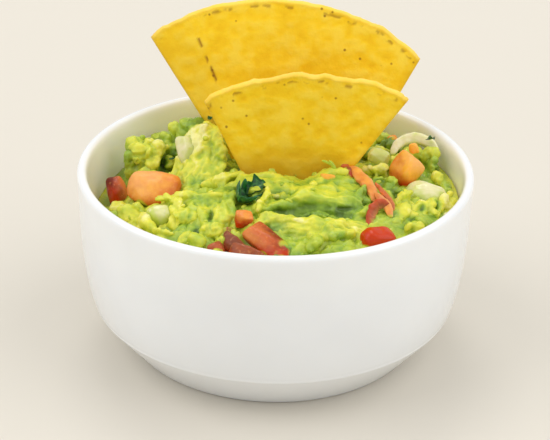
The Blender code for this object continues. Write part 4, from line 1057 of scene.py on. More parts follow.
def block_shape(centre, half, turn, seed, rows, columns):
    """A rounded many-sided block: its reach in a direction is the inverted p-norm of that direction's parts
    along random face normals."""
    directions, quads, triangles = ball(rows, columns)
    rng = np.random.default_rng(seed)
    normals = rng.normal(size=(CHUNK_FACES, 3))
    normals /= np.linalg.norm(normals, axis=1, keepdims=True)
    normals = np.concatenate([normals, -normals[:4], np.eye(3), -np.eye(3)])
    parts = np.clip(directions @ normals.T / rng.uniform(0.72, 1.0, len(normals)), 0, None)
    reach = (parts ** CHUNK_POWER).sum(1) ** (-1 / CHUNK_POWER)
    turned = rotation(turn)
    outward = directions / np.array(half)
    outward = (outward / np.linalg.norm(outward, axis=1, keepdims=True)) @ turned.T
    points = (directions * reach[:, None] * np.array(half) * MM) @ turned.T + np.array(centre) * MM
    return {"points": points, "quads": quads, "triangles": triangles, "outward": outward}


def region_of(x, y):
    """The region whose nearest chunk is nearest to each place."""
    rows = [(row[0][0], row[0][1], k) for k, region in enumerate(CHUNKS) for row in CHUNKS[region]]
    places = np.array(rows)
    away = (x[:, None] / MM - places[:, 0]) ** 2 + (y[:, None] / MM - places[:, 1]) ** 2
    return places[np.argmin(away, axis=1), 2].astype(int)


@lru_cache(maxsize=None)
def loose_chunks(count):
    """Rows like those of CHUNKS for small chunks all over the heap, half sunk in it, listed by region."""
    x, y, rng = scattered(count, 5, 3 * MM)
    half = rng.uniform(1.6, 3.2, (len(x), 1)) * rng.uniform(0.6, 1.4, (len(x), 3))
    turns = rng.uniform(-30, 30, (len(x), 3)) * (1, 1, 6)
    z = mean_level(x, y) / MM - 0.4 * half[:, 2]
    tones = np.clip(rng.normal(0.54, 0.11, len(x)), 0.1, 1.0)
    region = region_of(x, y)
    rows = [[] for _ in CHUNKS]
    for k in range(len(x)):
        place = (x[k] / MM, y[k] / MM, z[k])
        rows[region[k]].append((place, half[k], turns[k], tones[k], 0.8, 0.3 * (k % 3 == 0)))
    return rows


def rows_of(region, settings):
    """Large and small chunks of a region."""
    return list(CHUNKS[region]) + loose_chunks(settings.fill_count)[list(CHUNKS).index(region)]


def swollen(row, seed):
    """A rounded many-sided block with broad swellings, from a row of CHUNKS, before it is melted in."""
    centre, half, turn = row[:3]
    large = min(half) > 2.4
    rows, columns = (26, 40) if large else (14, 20)
    shape = block_shape(centre, half, turn, seed, rows, columns)
    outward = shape.pop("outward")
    lift = 0.8 * MM * fractal(shape["points"] / (5.5 * MM), 3, 11) * min(1.0, min(half) / 3.5)
    shape["points"] = shape["points"] + outward * lift[:, None]
    return shape


@lru_cache(maxsize=None)
def loose_crumbs(count):
    """Places and half sizes of crumbs, which lie on the heap of cores and blocks."""
    settings = bpy.context.scene.guacamole
    rough = [core_shape(settings.relief)]
    for number, region in enumerate(CHUNKS):
        rough += [swollen(row, 100 * number + k) for k, row in enumerate(rows_of(region, settings))]
    top = highest(rough)
    x, y, rng = scattered(count, 8, 1.5 * MM)
    places = np.stack([x, y, np.zeros(len(x))], -1)
    half = rng.uniform(0.6, 1.5, (len(x), 1)) * rng.uniform(0.6, 1.4, (len(x), 3))
    places[:, 2] = map_at(top, places) - 0.25 * half[:, 2] * MM
    return places / MM, half, region_of(x, y)


@lru_cache(maxsize=None)
def region_shape(region, settings):
    """Everything in a region melted into one skin, with the flesh's fine relief pushed out along its normals."""
    number = list(CHUNKS).index(region)
    rows = rows_of(region, settings)
    shapes = [swollen(row, 100 * number + k) for k, row in enumerate(rows)]
    places, halves, regions = loose_crumbs(settings.crumb_count)
    for k in np.flatnonzero(regions == number):
        crumb = block_shape(places[k], halves[k], (0, 0, 37 * k), 7000 + k, 7, 10)
        crumb.pop("outward")
        shapes.append(crumb)
    for k, (points, radius, tone) in enumerate(FOLDS.get(region, ())):
        fold = swept_shape(points, 2 * radius, 2 * radius, (0.3, 0.9, 0.2), 60 + 7 * k)
        fold.pop("across")
        shapes.append(fold)
    if region in SHEETS:
        shapes.append(sheet_shape(SHEETS[region]))
    skin, normals = melted(joined(shapes))
    points = skin["points"]
    tone, crumbly, streaks, ridges = flesh_of(points, region, rows)
    lift = settings.relief * ((1 - 0.55 * streaks) * flesh_relief(points, crumbly, 11) + streaks * (1.0 * ridges - 0.7))
    skin["points"] = points + normals * lift[:, None]
    tone = patched_with_tone_and_shade(points, tone + 0.36 * streaks * (ridges - 0.6) + 0.12 * fractal(points / (3.4 * MM), 2, number))
    skin["hollow"] = hollowness(skin)
    # painted light and shade: the tone is lowered, greener, in the hollows and raised, yellower, on the crests
    skin["tone"] = tone - 0.14 * skin["hollow"]
    return skin


def patched_with_tone_and_shade(points, tone):
    """The tone with the patches laid over it, each fading from its middle; the darkest patches paint shade."""
    for centre, half, mark, strength in TONE_AND_SHADE_PATCHES:
        away = (((points / MM - centre) / half) ** 2).sum(1)
        share = strength * np.exp(-away ** 1.5)
        tone = tone * (1 - share) + mark * share
    return tone


def flesh_of(points, region, rows):
    """Tone, crumbliness, streaking and ridges at each point, blended from the chunks round it.

    A chunk weighs exp(-3 d^2), where d is the distance from its middle in its own half sizes. The ridges run
    along the region's own direction of smearing.
    """
    centres = np.array([row[0] for row in rows]) * MM
    halves = np.array([row[1] for row in rows]) * MM
    turns = np.stack([rotation(row[2]) for row in rows])
    values = np.array([row[3:6] for row in rows])
    total = np.full(len(points), 1e-9)
    blend = np.zeros((len(points), 3))
    for k in range(len(rows)):
        local = (points - centres[k]) @ turns[k] / halves[k]
        away = (local ** 2).sum(1)
        weight = np.exp(-3 * away)
        total += weight
        blend += weight[:, None] * values[k]
    blend /= total[:, None]
    if region in SHEETS:
        share, tone = sheet_map(region)
        share = 0.85 * map_at(share, points)
        blend *= (1 - share)[:, None]
        blend += share[:, None] * np.stack([map_at(tone, points), 0 * share + 0.15, 0 * share + 0.8], -1)
    for places, _, tone in FOLDS.get(region, ()):
        path = along_curve(places, SWEEP_STEPS) * MM
        away = ((points[:, None] - path[None]) ** 2).sum(-1).min(1)
        share = np.exp(-away / (2.2 * MM) ** 2)[:, None]
        blend = blend * (1 - share) + share * np.array((tone, 0.7, 0.4))
    bent = points + 1.0 * MM * np.stack([smooth_noise(points / (4.0 * MM), 50 + k) for k in range(3)], -1)
    local = bent @ rotation((0, 0, GRAIN[region]))
    ridges = 1 - np.abs(fractal(local / (np.array((8.0, 1.7, 1.7)) * MM), 2, 3))
    return blend[:, 0], blend[:, 1], blend[:, 2], ridges


@lru_cache(maxsize=None)
def sheet_map(region):
    """Where a region's sheet lies, and its tone there, on the relief map's cells."""
    grid, tone = sheet_grid(SHEETS[region])
    grid, tone = grid.reshape(-1, 3), tone.ravel()
    cells = tuple(np.clip((grid[:, k] / MAP_CELL).astype(int) + MAP_HALF, 0, 2 * MAP_HALF - 1) for k in (0, 1))
    count = np.zeros((2 * MAP_HALF, 2 * MAP_HALF))
    total = np.zeros((2 * MAP_HALF, 2 * MAP_HALF))
    np.add.at(count, cells, 1)
    np.add.at(total, cells, tone)
    spread = blurred(count, 0.6)
    return np.clip(blurred((count > 0).astype(float), 2.0) * 1.6 - 0.6, 0, 1), blurred(total, 0.6) / (spread + 1e-9)


def evaluated(shape, modifiers):
    """A shape's points, vertex normals and corners after some modifiers, each a kind and its settings."""
    mesh = bpy.data.meshes.new("rough")
    fill_mesh(mesh, shape)
    rough = bpy.data.objects.new("rough", mesh)
    bpy.context.scene.collection.objects.link(rough)
    for kind, settings in modifiers:
        modifier = rough.modifiers.new(kind, kind)
        for key, value in settings.items():
            setattr(modifier, key, value)
    skin = rough.evaluated_get(bpy.context.evaluated_depsgraph_get()).to_mesh()
    points = np.empty(len(skin.vertices) * 3, np.float32)
    skin.vertices.foreach_get("co", points)
    normals = np.empty(len(skin.vertices) * 3, np.float32)
    skin.vertex_normals.foreach_get("vector", normals)
    corners = np.empty(len(skin.loops), np.int32)
    skin.loops.foreach_get("vertex_index", corners)
    bpy.data.objects.remove(rough)
    bpy.data.meshes.remove(mesh)
    return points.reshape(-1, 3).astype(float), normals.reshape(-1, 3), corners


def melted(shape):
    """One closed skin round overlapping closed shapes: a voxel remesh, then a few passes of smoothing."""
    points, normals, corners = evaluated(shape, [
        ("REMESH", {"mode": "VOXEL", "voxel_size": MELT_CELL}), ("SMOOTH", {"factor": 0.5, "iterations": MELT_PASSES}),
    ])
    return {"points": points, "quads": corners.reshape(-1, 4), "triangles": np.zeros((0, 3), int)}, normals


def hollowness(shape):
    """How far each point lies inside the shape smoothed over about 2 mm, along its normal, in millimetres."""
    smoothed, _, _ = evaluated(shape, [("SMOOTH", {"factor": 0.5, "iterations": HOLLOW_PASSES})])
    _, normals, _ = evaluated(shape, [])
    return np.clip(((smoothed - shape["points"]) * normals).sum(1) / MM, -1, 1)


def near_topping(x, y, margin):
    """Whether a place lies over a diced piece, or just in front of it, by the pieces' boxes."""
    found = np.zeros(np.shape(x), bool)
    for node in list(DICE) + ["onion_right_back"]:
        low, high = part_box(node)
        inside = (x > low.x - margin) & (x < high.x + margin)
        found |= inside & (y > low.y - 4.0 * margin) & (y < high.y + margin)
    return found


def on_strip(x, y, margin):
    """Whether a place lies under a strip of tomato."""
    path = np.concatenate([along_curve(row[0], 24) for row in TOMATO_STRIPS]) * MM
    away = np.hypot(x[:, None] - path[:, 0], y[:, None] - path[:, 1]).min(1)
    return away < 2 * MM + margin


def scattered(count, seed, margin):
    """Random places inside the bowl and clear of the toppings, evenly spread over the disc."""
    rng = np.random.default_rng(seed)
    radius = (RIM_RADIUS - WALL_THICKNESS - margin) * np.sqrt(rng.uniform(0, 1, 4 * count))
    angle = rng.uniform(0, 2 * math.pi, 4 * count)
    x, y = radius * np.cos(angle), radius * np.sin(angle)
    clear = ~(near_topping(x, y, 0.8 * margin) | on_strip(x, y, 0.8 * margin))
    return x[clear][:count], y[clear][:count], rng


def along_curve(points, steps):
    """A smooth curve through the points, in even steps: between two points, the cubic that leaves each in
    the direction from its last neighbour to its next."""
    points = np.asarray(points, float)
    ends = np.concatenate([2 * points[:1] - points[1:2], points, 2 * points[-1:] - points[-2:-1]])
    s = np.linspace(0, len(points) - 1, steps)
    i = np.minimum(s.astype(int), len(points) - 2)
    t = (s - i).reshape(-1, *[1] * (points.ndim - 1))
    before, start, end, after = (ends[i + k] for k in range(4))
    rise, fall = 0.5 * (end - before), 0.5 * (after - start)
    blend = eased(t)
    return start + (end - start) * blend + rise * t * (1 - t) ** 2 - fall * t * t * (1 - t)


def sheet_grid(curves):
    """Points and tones over a sheet: along each curve, then across the curves."""
    lines = np.stack([along_curve(points, SHEET_COLUMNS) for _, points in curves])
    tones = np.array([tone for tone, _ in curves])
    steps = SHEET_ROWS * (len(curves) - 1) + 1
    tone = np.broadcast_to(along_curve(tones[:, None], steps), (steps, SHEET_COLUMNS))
    return along_curve(lines, steps) * MM, tone


def sheet_shape(curves):
    """A sheet given depth: its border goes down to a rim, and one point below closes it."""
    grid, _ = sheet_grid(curves)
    grid = np.pad(grid, [(1, 1), (1, 1), (0, 0)], mode="edge")
    rows, columns = grid.shape[:2]
    border = np.ones((rows, columns), bool)
    border[1:-1, 1:-1] = False
    grid[border, 2] -= SHEET_DEPTH
    index = np.arange(rows * columns).reshape(rows, columns)
    loop = np.concatenate([index[0, :-1], index[:-1, -1], index[-1, :0:-1], index[:0:-1, 0]])
    below = grid[border].mean(0) - (0, 0, 0.3 * SHEET_DEPTH)
    points = np.concatenate([grid.reshape(-1, 3), below[None]])
    fan = np.stack([loop, np.roll(loop, -1), np.full(len(loop), rows * columns)], -1)
    return {"points": points, "quads": grid_quads(rows, columns)[:, ::-1], "triangles": fan}


def swept_shape(points, width, thickness, facing, seed, roughness=0.3):
    """An oval section carried along a smooth curve, its broad side to one direction, thinned to both ends
    and made uneven by noise."""
    path = along_curve(points, SWEEP_STEPS) * MM
    s = np.linspace(0, 1, SWEEP_STEPS)
    forward = np.gradient(path, axis=0)
    forward /= np.linalg.norm(forward, axis=1, keepdims=True)
    side = np.cross(forward, facing)
    side /= np.linalg.norm(side, axis=1, keepdims=True)
    up = np.cross(side, forward)
    a = np.linspace(0, 2 * math.pi, SWEEP_SIDES, endpoint=False)
    norm = (np.abs(np.cos(a)) ** 3 + np.abs(np.sin(a)) ** 3) ** (-1 / 3)
    size = 0.5 * MM * (np.clip(4 * s * (1 - s), 0, 1) ** 0.45 * 0.9 + 0.1)
    offset = (width * norm * np.cos(a))[None, :, None] * side[:, None]
    offset = offset + (thickness * norm * np.sin(a))[None, :, None] * up[:, None]
    rough = 1 + roughness * fractal((path[:, None] + offset * 0.5 * MM) / (1.8 * MM), 2, seed)
    rings = path[:, None] + offset * (size[:, None] * rough)[..., None]
    points = np.concatenate([rings.reshape(-1, 3), path[:1], path[-1:]])
    quads, triangles = capped(SWEEP_STEPS, SWEEP_SIDES)
    across = np.concatenate([np.tile(np.cos(a), SWEEP_STEPS), (0, 0)])
    return {"points": points, "quads": quads, "triangles": triangles, "across": across}


def blurred(grid, cells):
    """A Gaussian blur along both axes, with the ends held."""
    reach = int(3 * cells)
    weights = np.exp(-0.5 * (np.arange(-reach, reach + 1) / cells) ** 2)
    weights /= weights.sum()
    for axis in (0, 1):
        padded = np.pad(grid, [(reach, reach) if k == axis else (0, 0) for k in (0, 1)], mode="edge")
        grid = np.apply_along_axis(np.convolve, axis, padded, weights, mode="valid")
    return grid


def highest(shapes):
    """The highest point of some shapes in each cell of the relief map."""
    top = np.full((2 * MAP_HALF, 2 * MAP_HALF), 30 * MM)
    for shape in shapes:
        points = shape["points"]
        i = np.clip((points[:, 0] / MAP_CELL).astype(int) + MAP_HALF, 0, 2 * MAP_HALF - 1)
        j = np.clip((points[:, 1] / MAP_CELL).astype(int) + MAP_HALF, 0, 2 * MAP_HALF - 1)
        np.maximum.at(top, (i, j), points[:, 2])
    cells = np.mgrid[-MAP_HALF:MAP_HALF, -MAP_HALF:MAP_HALF]
    outside = np.hypot(*cells) * MAP_CELL > RIM_RADIUS - WALL_THICKNESS - 1.0 * MM
    top[outside] = EDGE_LEVEL
    return top


def map_at(grid, points):
    """A grid's value under each point, blended between its four cells."""
    u = np.clip(points[..., 0] / MAP_CELL + MAP_HALF - 0.5, 0, 2 * MAP_HALF - 2.001)
    v = np.clip(points[..., 1] / MAP_CELL + MAP_HALF - 0.5, 0, 2 * MAP_HALF - 2.001)
    i, j = u.astype(int), v.astype(int)
    s, t = u - i, v - j
    low = grid[i, j] * (1 - s) + grid[i + 1, j] * s
    high = grid[i, j + 1] * (1 - s) + grid[i + 1, j + 1] * s
    return low * (1 - t) + high * t


@lru_cache(maxsize=None)
def relief_map():
    """The finished heap's highest points, and the same blurred."""
    settings = bpy.context.scene.guacamole
    top = highest([core_shape(settings.relief)] + [region_shape(region, settings) for region in CHUNKS])
    return top, blurred(top, MAP_BLUR / MAP_CELL)


def with_crevice_shade(shape):
    """How deep each point lies in a crevice, from 0 to 1: from its depth below the blurred heap over 7 mm,
    and from its own hollow. The flesh is painted darker and browner by it, as painted shade."""
    points = shape["points"]
    below = map_at(relief_map()[1], points) - points[:, 2]
    depth = np.clip((below + 0.2 * MM) / (7.0 * MM), 0, 1) + 0.6 * np.clip(shape.pop("hollow"), 0, 1)
    return {**shape, "depth": depth}


def make_guacamole(settings):
    """The core, the melted flesh by region, and the free strands."""
    flesh = finish_of(mashed_avocado)
    add_piece("guacamole_core", with_crevice_shade(dict(core_shape(settings.relief))), flesh, ["guacamole"])
    for region in CHUNKS:
        add_piece("avocado_" + region, with_crevice_shade(dict(region_shape(region, settings))), flesh)
    strands = [
        swept_shape(points, 2 * radius, 2 * radius, (0.3, 0.9, 0.2), 90 + 7 * k)
        for k, (points, radius, _) in enumerate(STRANDS)
    ]
    strands = joined(strands)
    strands["tone"] = 0.66 + 0.1 * strands.pop("across")
    strands["hollow"] = 0 * strands["tone"]
    add_piece("avocado_strands", with_crevice_shade(strands), flesh)


def make_crumbs(settings):
    """Loose crumbs of avocado that lie on the finished heap."""
    x, y, rng = scattered(settings.loose_count, 18, 1.5 * MM)
    places = np.stack([x, y, np.zeros(len(x))], -1)
    half = rng.uniform(0.5, 1.2, (len(x), 1)) * rng.uniform(0.6, 1.4, (len(x), 3))
    places[:, 2] = map_at(relief_map()[0], places) - 0.2 * half[:, 2] * MM
    crumbs = [block_shape(places[k] / MM, half[k], (0, 0, 61 * k), 800 + k, 8, 12) for k in range(len(x))]
    shape = joined(crumbs)
    points = shape["points"]
    shape["points"] = points + shape.pop("outward") * (0.25 * MM * fractal(points / (1.2 * MM), 2, 4))[:, None]
    shape["tone"] = np.repeat(np.clip(rng.normal(0.6, 0.15, len(x)), 0.2, 1.0), len(crumbs[0]["points"]))
    shape["hollow"] = 0 * shape["tone"]
    add_piece("avocado_crumbs", with_crevice_shade(shape), finish_of(mashed_avocado))


# ---- chips ----

def chip_shape(name, blister_height):
    """A sector of a thin round, front and back faces on one grid that share their border.

    The thickness falls to nothing over the edge as a quarter circle. The sheet bends back with the square
    of the distance from its middle, folds at the flap, and undulates by noise.
    """
    tip, sides, half_angle, lean, roll, turn, bend, fold = CHIPS[name]
    seed = 40 + list(CHIPS).index(name) * 10
    left, mid, right = (s * MM for s in sides)
    t = np.sin(0.5 * math.pi * np.linspace(-1, 1, CHIP_COLUMNS)) * 0.35 + np.linspace(-1, 1, CHIP_COLUMNS) * 0.65
    s = np.linspace(0, 1, CHIP_ROWS)
    s = (0.35 * (1 - np.cos(math.pi * s)) / 2 + 0.65 * s)[:, None]
    angle = math.radians(half_angle) * t
    reach = 0.5 * (left + right) + 0.5 * (right - left) * t
    reach = reach + (mid - 0.5 * (left + right)) * np.cos(0.5 * math.pi * t)
    reach = reach - CHIP_CORNER * np.abs(t) ** 12
    line = np.stack([t * 9, np.full(len(t), seed), np.zeros(len(t))], -1)
    reach = reach + 0.45 * MM * fractal(line, 4, seed)
    radius = CHIP_TIP_RADIUS + (reach - CHIP_TIP_RADIUS) * s
    x = radius * np.sin(angle)
    z = radius * np.cos(angle)
    from_arc = reach - radius
    from_side = radius * math.radians(half_angle) * (1 - np.abs(t))
    from_edge = np.minimum(np.minimum(from_arc, from_side), radius - CHIP_TIP_RADIUS)
    half_width = left * math.sin(math.radians(half_angle))
    beyond = np.clip(-x - z * math.tan(math.radians(CHIP_FLAP_ANGLE)), 0, None)
    flat = np.stack([x, np.zeros_like(x), z], -1)
    y = bend * MM * (x / half_width) ** 2 + beyond * math.tan(math.radians(fold))
    y = y + 0.55 * MM * fractal(flat / (17 * MM), 2, seed + 1)
    inward = np.clip(1 - from_edge / CHIP_EDGE, 0, 1)
    thick = 0.5 * CHIP_THICKNESS * np.sqrt(1 - inward ** 2)
    faces = []
    blisters = []
    for side, step in ((-1, 2), (1, 5)):
        patches = np.clip(0.5 + 0.6 * fractal(flat / (np.array((3.4, 1.0, 2.6)) * MM), 3, seed + step), 0, 1)
        raised = thick + blister_height * patches * (1 - inward)
        raised = raised + 0.18 * MM * np.exp(-((from_arc - 0.9 * MM) / (0.5 * MM)) ** 2)
        faces.append(np.stack([x, y + side * raised, z], -1))
        blisters.append(patches)
    flap = eased(np.clip(beyond / (6 * MM), 0, 1)) if fold else np.zeros_like(x)
    # painted shade: the chip is painted browner low down, where it stands in the heap
    low = eased(np.clip(1 - (radius / MM - 27) / 10, 0, 1))
    side_edge = np.exp(-from_side / (1.2 * MM))
    toast_and_shade = 0.10 * flap + 0.68 * low + 0.35 * side_edge + 0.12 * fractal(flat / (9 * MM), 2, seed + 6)
    toast_and_shade = np.clip(toast_and_shade, 0, 0.85)
    # painted light: paler within about 1.8 mm of the arc, on the top edge
    rim = eased(np.clip(1 - from_arc / (1.8 * MM), 0, 1)) * (0.75 + 0.25 * fractal(flat / (3 * MM), 2, seed))
    scorch = chip_scorch(name, x, z, from_arc, t, seed)
    return chip_shell(name, faces, blisters, rim, toast_and_shade, scorch)


def chip_scorch(name, x, z, from_arc, t, seed):
    """Charred spots: a broken row just inside the arc, and dashes along the flap's crease."""
    flat = np.stack([x, np.zeros_like(x), z], -1)
    row = np.exp(-((from_arc - 2.2 * MM) / (0.6 * MM)) ** 2)
    scorch = 0.6 * row * eased(np.clip(3.2 * fractal(flat / (1.7 * MM), 2, seed + 7) - 0.9, 0, 1))
    if name == "chip_back":
        crease = x + z * math.tan(math.radians(CHIP_FLAP_ANGLE))
        dash = eased(np.clip(4 * smooth_noise(flat / (2.6 * MM), seed + 8) + 0.3, 0, 1))
        reach = (z > 44 * MM) & (from_arc > 6 * MM)
        scorch = scorch + 0.85 * np.exp(-(crease / (0.45 * MM)) ** 2) * dash * reach
    return np.clip(scorch, 0, 1)


def chip_shell(name, faces, blisters, rim, toast_and_shade, scorch):
    """Turns and places both faces, and joins them along their border points."""
    tip, _, _, lean, roll, turn, _, _ = CHIPS[name]
    turned = rotation((-lean, 0, -turn)) @ rotation((0, roll, 0))
    rows, columns = faces[0].shape[:2]
    front = np.arange(rows * columns).reshape(rows, columns)
    back = front + rows * columns
    edge = np.ones((rows, columns), bool)
    edge[1:-1, 1:-1] = False
    back[edge] = front[edge]
    plain = grid_quads(rows, columns)
    quads = np.concatenate([plain, back.ravel()[plain][:, ::-1]])
    points = np.concatenate([face.reshape(-1, 3) for face in faces]) @ turned.T + np.array(tip) * MM
    used, inverse = np.unique(quads, return_inverse=True)
    values = {"blister": np.concatenate([b.ravel() for b in blisters])}
    for key, field in (("rim", rim), ("toast_and_shade", toast_and_shade), ("scorch", scorch)):
        values[key] = np.tile(field.ravel(), 2)
    shape = {key: value[used] for key, value in values.items()}
    shape["points"] = points[used]
    shape["quads"] = inverse.reshape(-1, 4)
    shape["triangles"] = np.zeros((0, 3), int)
    return shape


# ---- diced pieces and slices ----

def hewn_shape(size, turn, square, cuts, centre, seed):
    """A rounded box with corners cut off: its reach in a direction is the inverted p-norm of the direction's
    parts along each face's normal. Noise bends it and roughens it."""
    directions, quads, triangles = ball(DICE_ROWS, DICE_COLUMNS)
    faces = np.concatenate([np.eye(3), -np.eye(3)])
    far = np.ones(6)
    if cuts:
        cuts = np.array(cuts)
        faces = np.concatenate([faces, cuts[:, :3] / np.linalg.norm(cuts[:, :3], axis=1, keepdims=True)])
        far = np.concatenate([far, cuts[:, 3]])
    reach = ((np.clip(directions @ faces.T, 0, None) / far) ** square).sum(1) ** (-1 / square)
    unit = directions * reach[:, None]
    bent = unit + 0.07 * np.stack([fractal(unit * 1.2, 2, seed + k) for k in range(3)], -1)
    local = bent * np.array(size) * 0.5 * MM
    local += directions * (0.11 * MM * fractal(local / (1.9 * MM), 2, seed))[:, None]
    points = local @ rotation(turn).T + centre
    return {"points": points, "quads": quads, "triangles": triangles}, unit


def smeared(points, reach):
    """Share of avocado smeared on each point of a topping: most where it meets the heap, to a ragged line."""
    above = points[:, 2] - map_at(relief_map()[0], points) - 0.5 * MM * fractal(points / (1.8 * MM), 2, 7)
    return eased(np.clip(1 - above / reach, 0, 1))


def dice_shape(node):
    """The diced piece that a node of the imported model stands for."""
    return hewn_shape(*DICE[node], middle(node), sum(ord(c) for c in node))


def make_tomato(settings):
    """Tomato dice, bits and strips: which side of each still has its skin, where it is palest, how ripe."""
    finish = finish_of(raw_tomato)
    # direction that the skin faces, how much of the piece it covers, direction of the lit side, where the flesh
    # is palest, ripeness from 0, red, to 1, orange-yellow, how pale. The lit side, mostly the top, is painted
    # paler and more orange as painted light, and the far side redder and darker as painted shade.
    sides = {
        "tomato_far_left": ((-0.8, -0.6, 0.0), 0.24, (0.9, -0.2, 0.3), 0.06, 0.25),
        "tomato_left": ((0.7, -0.3, -0.7), 0.14, (-0.4, -0.2, 0.8), 0.56, 0.6),
        "tomato_front": ((0.7, -0.4, -0.2), 0.38, (-0.6, -0.3, 0.6), 0.10, 0.15),
        "tomato_front_top": ((-0.6, -0.3, -0.7), 0.20, (0.0, 0.0, 1.0), 0.36, 0.2),
        "tomato_front_right": ((-0.2, -0.4, 0.7), 0.85, (0.8, 0.6, 0.6), 0.45, 0.6),
        "tomato_right": ((-0.2, -0.3, -1.0), 0.16, (0.5, -0.4, 0.8), 0.96, 0.8),
    }
    for node, (skin_side, cover, lit_side, ripe, paleness) in sides.items():
        shape, unit = dice_shape(node)
        skin_side = np.array(skin_side) / np.linalg.norm(skin_side)
        lit_side = np.array(lit_side) / np.linalg.norm(lit_side)
        shape["skin"] = eased(np.clip(2.2 * (unit @ skin_side) - 2.2 * (1 - 2 * cover) + 0.5, 0, 1))
        # painted light and shade: paler and more orange towards the lit side, redder and darker away from it
        shape["pale"] = eased(np.clip(unit @ lit_side - 0.1, 0, 1)) * paleness
        shape["ripe"] = np.clip(ripe + 0.36 * (unit @ lit_side) + 0.15 * fractal(unit * 1.5, 2, 5), 0, 1)
        shape["smear"] = 0.8 * smeared(shape["points"], 0.6 * MM)
        add_piece(node + "_flesh", shape, finish, [node])
    strips = []
    for k, (points, width, thickness, facing, ripe, skin) in enumerate(TOMATO_STRIPS):
        strip = swept_shape(points, width, thickness, facing, 300 + 9 * k, 0.22)
        across = strip.pop("across")
        strip["skin"] = skin * eased(np.clip(0.5 + across, 0, 1))
        strip["pale"] = (0.3 + 0.6 * np.clip(-across - 0.1, 0, 1)) * (1 - skin)
        strip["ripe"] = ripe + 0.26 * fractal(strip["points"] / (2.4 * MM), 2, 60 + k)
        strip["smear"] = 0.7 * smeared(strip["points"], 0.6 * MM)
        strips.append(strip)
    add_piece("tomato_strip_flesh", joined(strips), finish, ["tomato_strip"])
    bits = []
    for k, (centre, size, turn, ripe, skin) in enumerate(TOMATO_BITS):
        shape, unit = hewn_shape(size, turn, 5, ((0.6, -0.5, 0.6, 0.8), (-0.6, -0.5, 0.6, 0.85)), np.array(centre) * MM, 400 + k)
        shape["skin"] = skin * eased(np.clip(0.5 - 0.6 * unit[:, 2] - 0.4 * unit[:, 1], 0, 1))
        # painted light: the tops of the bits are a little paler
        shape["pale"] = 0.1 * eased(np.clip(unit[:, 2], 0, 1))
        shape["ripe"] = ripe + 0 * shape["pale"]
        shape["smear"] = 0.7 * smeared(shape["points"], 0.6 * MM)
        bits.append(shape)
    add_piece("tomato_bits", joined(bits), finish)


def make_onion(settings):
    """The large pieces of onion, then small bits that lie on the heap."""
    finish = finish_of(raw_onion)
    for node in [name for name in DICE if name.startswith("onion")]:
        shape, _ = dice_shape(node)
        reach = {"onion_by_chip": 14.0, "onion_left_front": 4.0}.get(node, 2.6)
        shape["smear"] = (0.3 if node == "onion_left_front" else 0.1) + 0.65 * smeared(shape["points"], reach * MM)
        add_piece(node + "_flesh", shape, finish, [node])
    arch = swept_shape(ONION_ARCH, 3.4, 2.8, (0, -0.77, 0.64), 77, 0.12)
    arch.pop("across")
    arch["smear"] = 0.9 * smeared(arch["points"], 1.6 * MM)
    add_piece("onion_arch_flesh", arch, finish, ["onion_right_back"])
    x, y, rng = scattered(4 * settings.onion_count, 21, 3 * MM)
    behind = y > 20 * MM
    x, y = x[behind][:settings.onion_count], y[behind][:settings.onion_count]
    places = np.concatenate([np.stack([x, y], -1), np.array(ONION_PLACES) * MM])
    places = np.pad(places, [(0, 0), (0, 1)])
    places[:, 2] = map_at(relief_map()[0], places) - 0.3 * MM
    shapes = []
    for k, place in enumerate(places):
        piece = block_shape(place / MM, rng.uniform(0.9, 1.9, 3), rng.uniform(-40, 40, 3), 500 + k, 10, 14)
        piece.pop("outward")
        piece["smear"] = 0.9 * smeared(piece["points"], 1.2 * MM)
        shapes.append(piece)
    add_piece("onion_bits", joined(shapes), finish)


# ---- coriander ----

def leaf_shape(centre, size, turn, curl, seed, steps):
    """A lobed leaf: a grid from its stalk to its tip and from edge to edge, whose width swells and shrinks
    along it in lobes. It curls about its length, and its two faces meet at the edge."""
    s = np.linspace(0, 1, steps)[:, None]
    t = np.linspace(-1, 1, steps)[None]
    lobes = 1 + 0.28 * np.sin(5 * math.pi * s + seed)
    width = 0.5 * np.sin(math.pi * np.clip(s * 0.96 + 0.02, 0, 1)) ** 0.7 * lobes
    x = (s - 0.5 + 0 * t) * size
    across = t * width * size
    y = across * np.cos(curl * t)
    z = np.abs(across) * np.sin(curl * np.abs(t)) + 0.12 * size * np.sin(math.pi * s * 1.3 + seed)
    z = z + 0.06 * size * smooth_noise(np.stack([x, y, 0 * x], -1) / (0.25 * size), seed)
    thick = 0.14 * MM * np.sqrt(np.clip(1 - t ** 2, 0, 1)) * np.sqrt(np.clip(4 * s * (1 - s), 0, 1))
    upper = np.stack([x, y, z + thick], -1).reshape(-1, 3)
    lower = np.stack([x, y, z - thick], -1).reshape(-1, 3)
    front = np.arange(steps * steps).reshape(steps, steps)
    back = front + steps * steps
    edge = np.ones((steps, steps), bool)
    edge[1:-1, 1:-1] = False
    back[edge] = front[edge]
    plain = grid_quads(steps, steps)
    quads = np.concatenate([plain[:, ::-1], back.ravel()[plain]])
    used, inverse = np.unique(quads, return_inverse=True)
    points = np.concatenate([upper, lower])[used] @ rotation(turn).T + np.array(centre)
    side = np.abs(t) - 0.35 * np.abs(((s * 4 + np.abs(t)) % 1) - 0.5) * 2
    vein = np.maximum(np.exp(-(t / 0.07) ** 2) + 0 * s, 0.5 * np.exp(-((side - 0.2) / 0.09) ** 2))
    shape = {"points": points, "quads": inverse.reshape(-1, 4), "triangles": np.zeros((0, 3), int)}
    shape["vein"] = np.tile(vein.ravel(), 2)[used]
    return shape


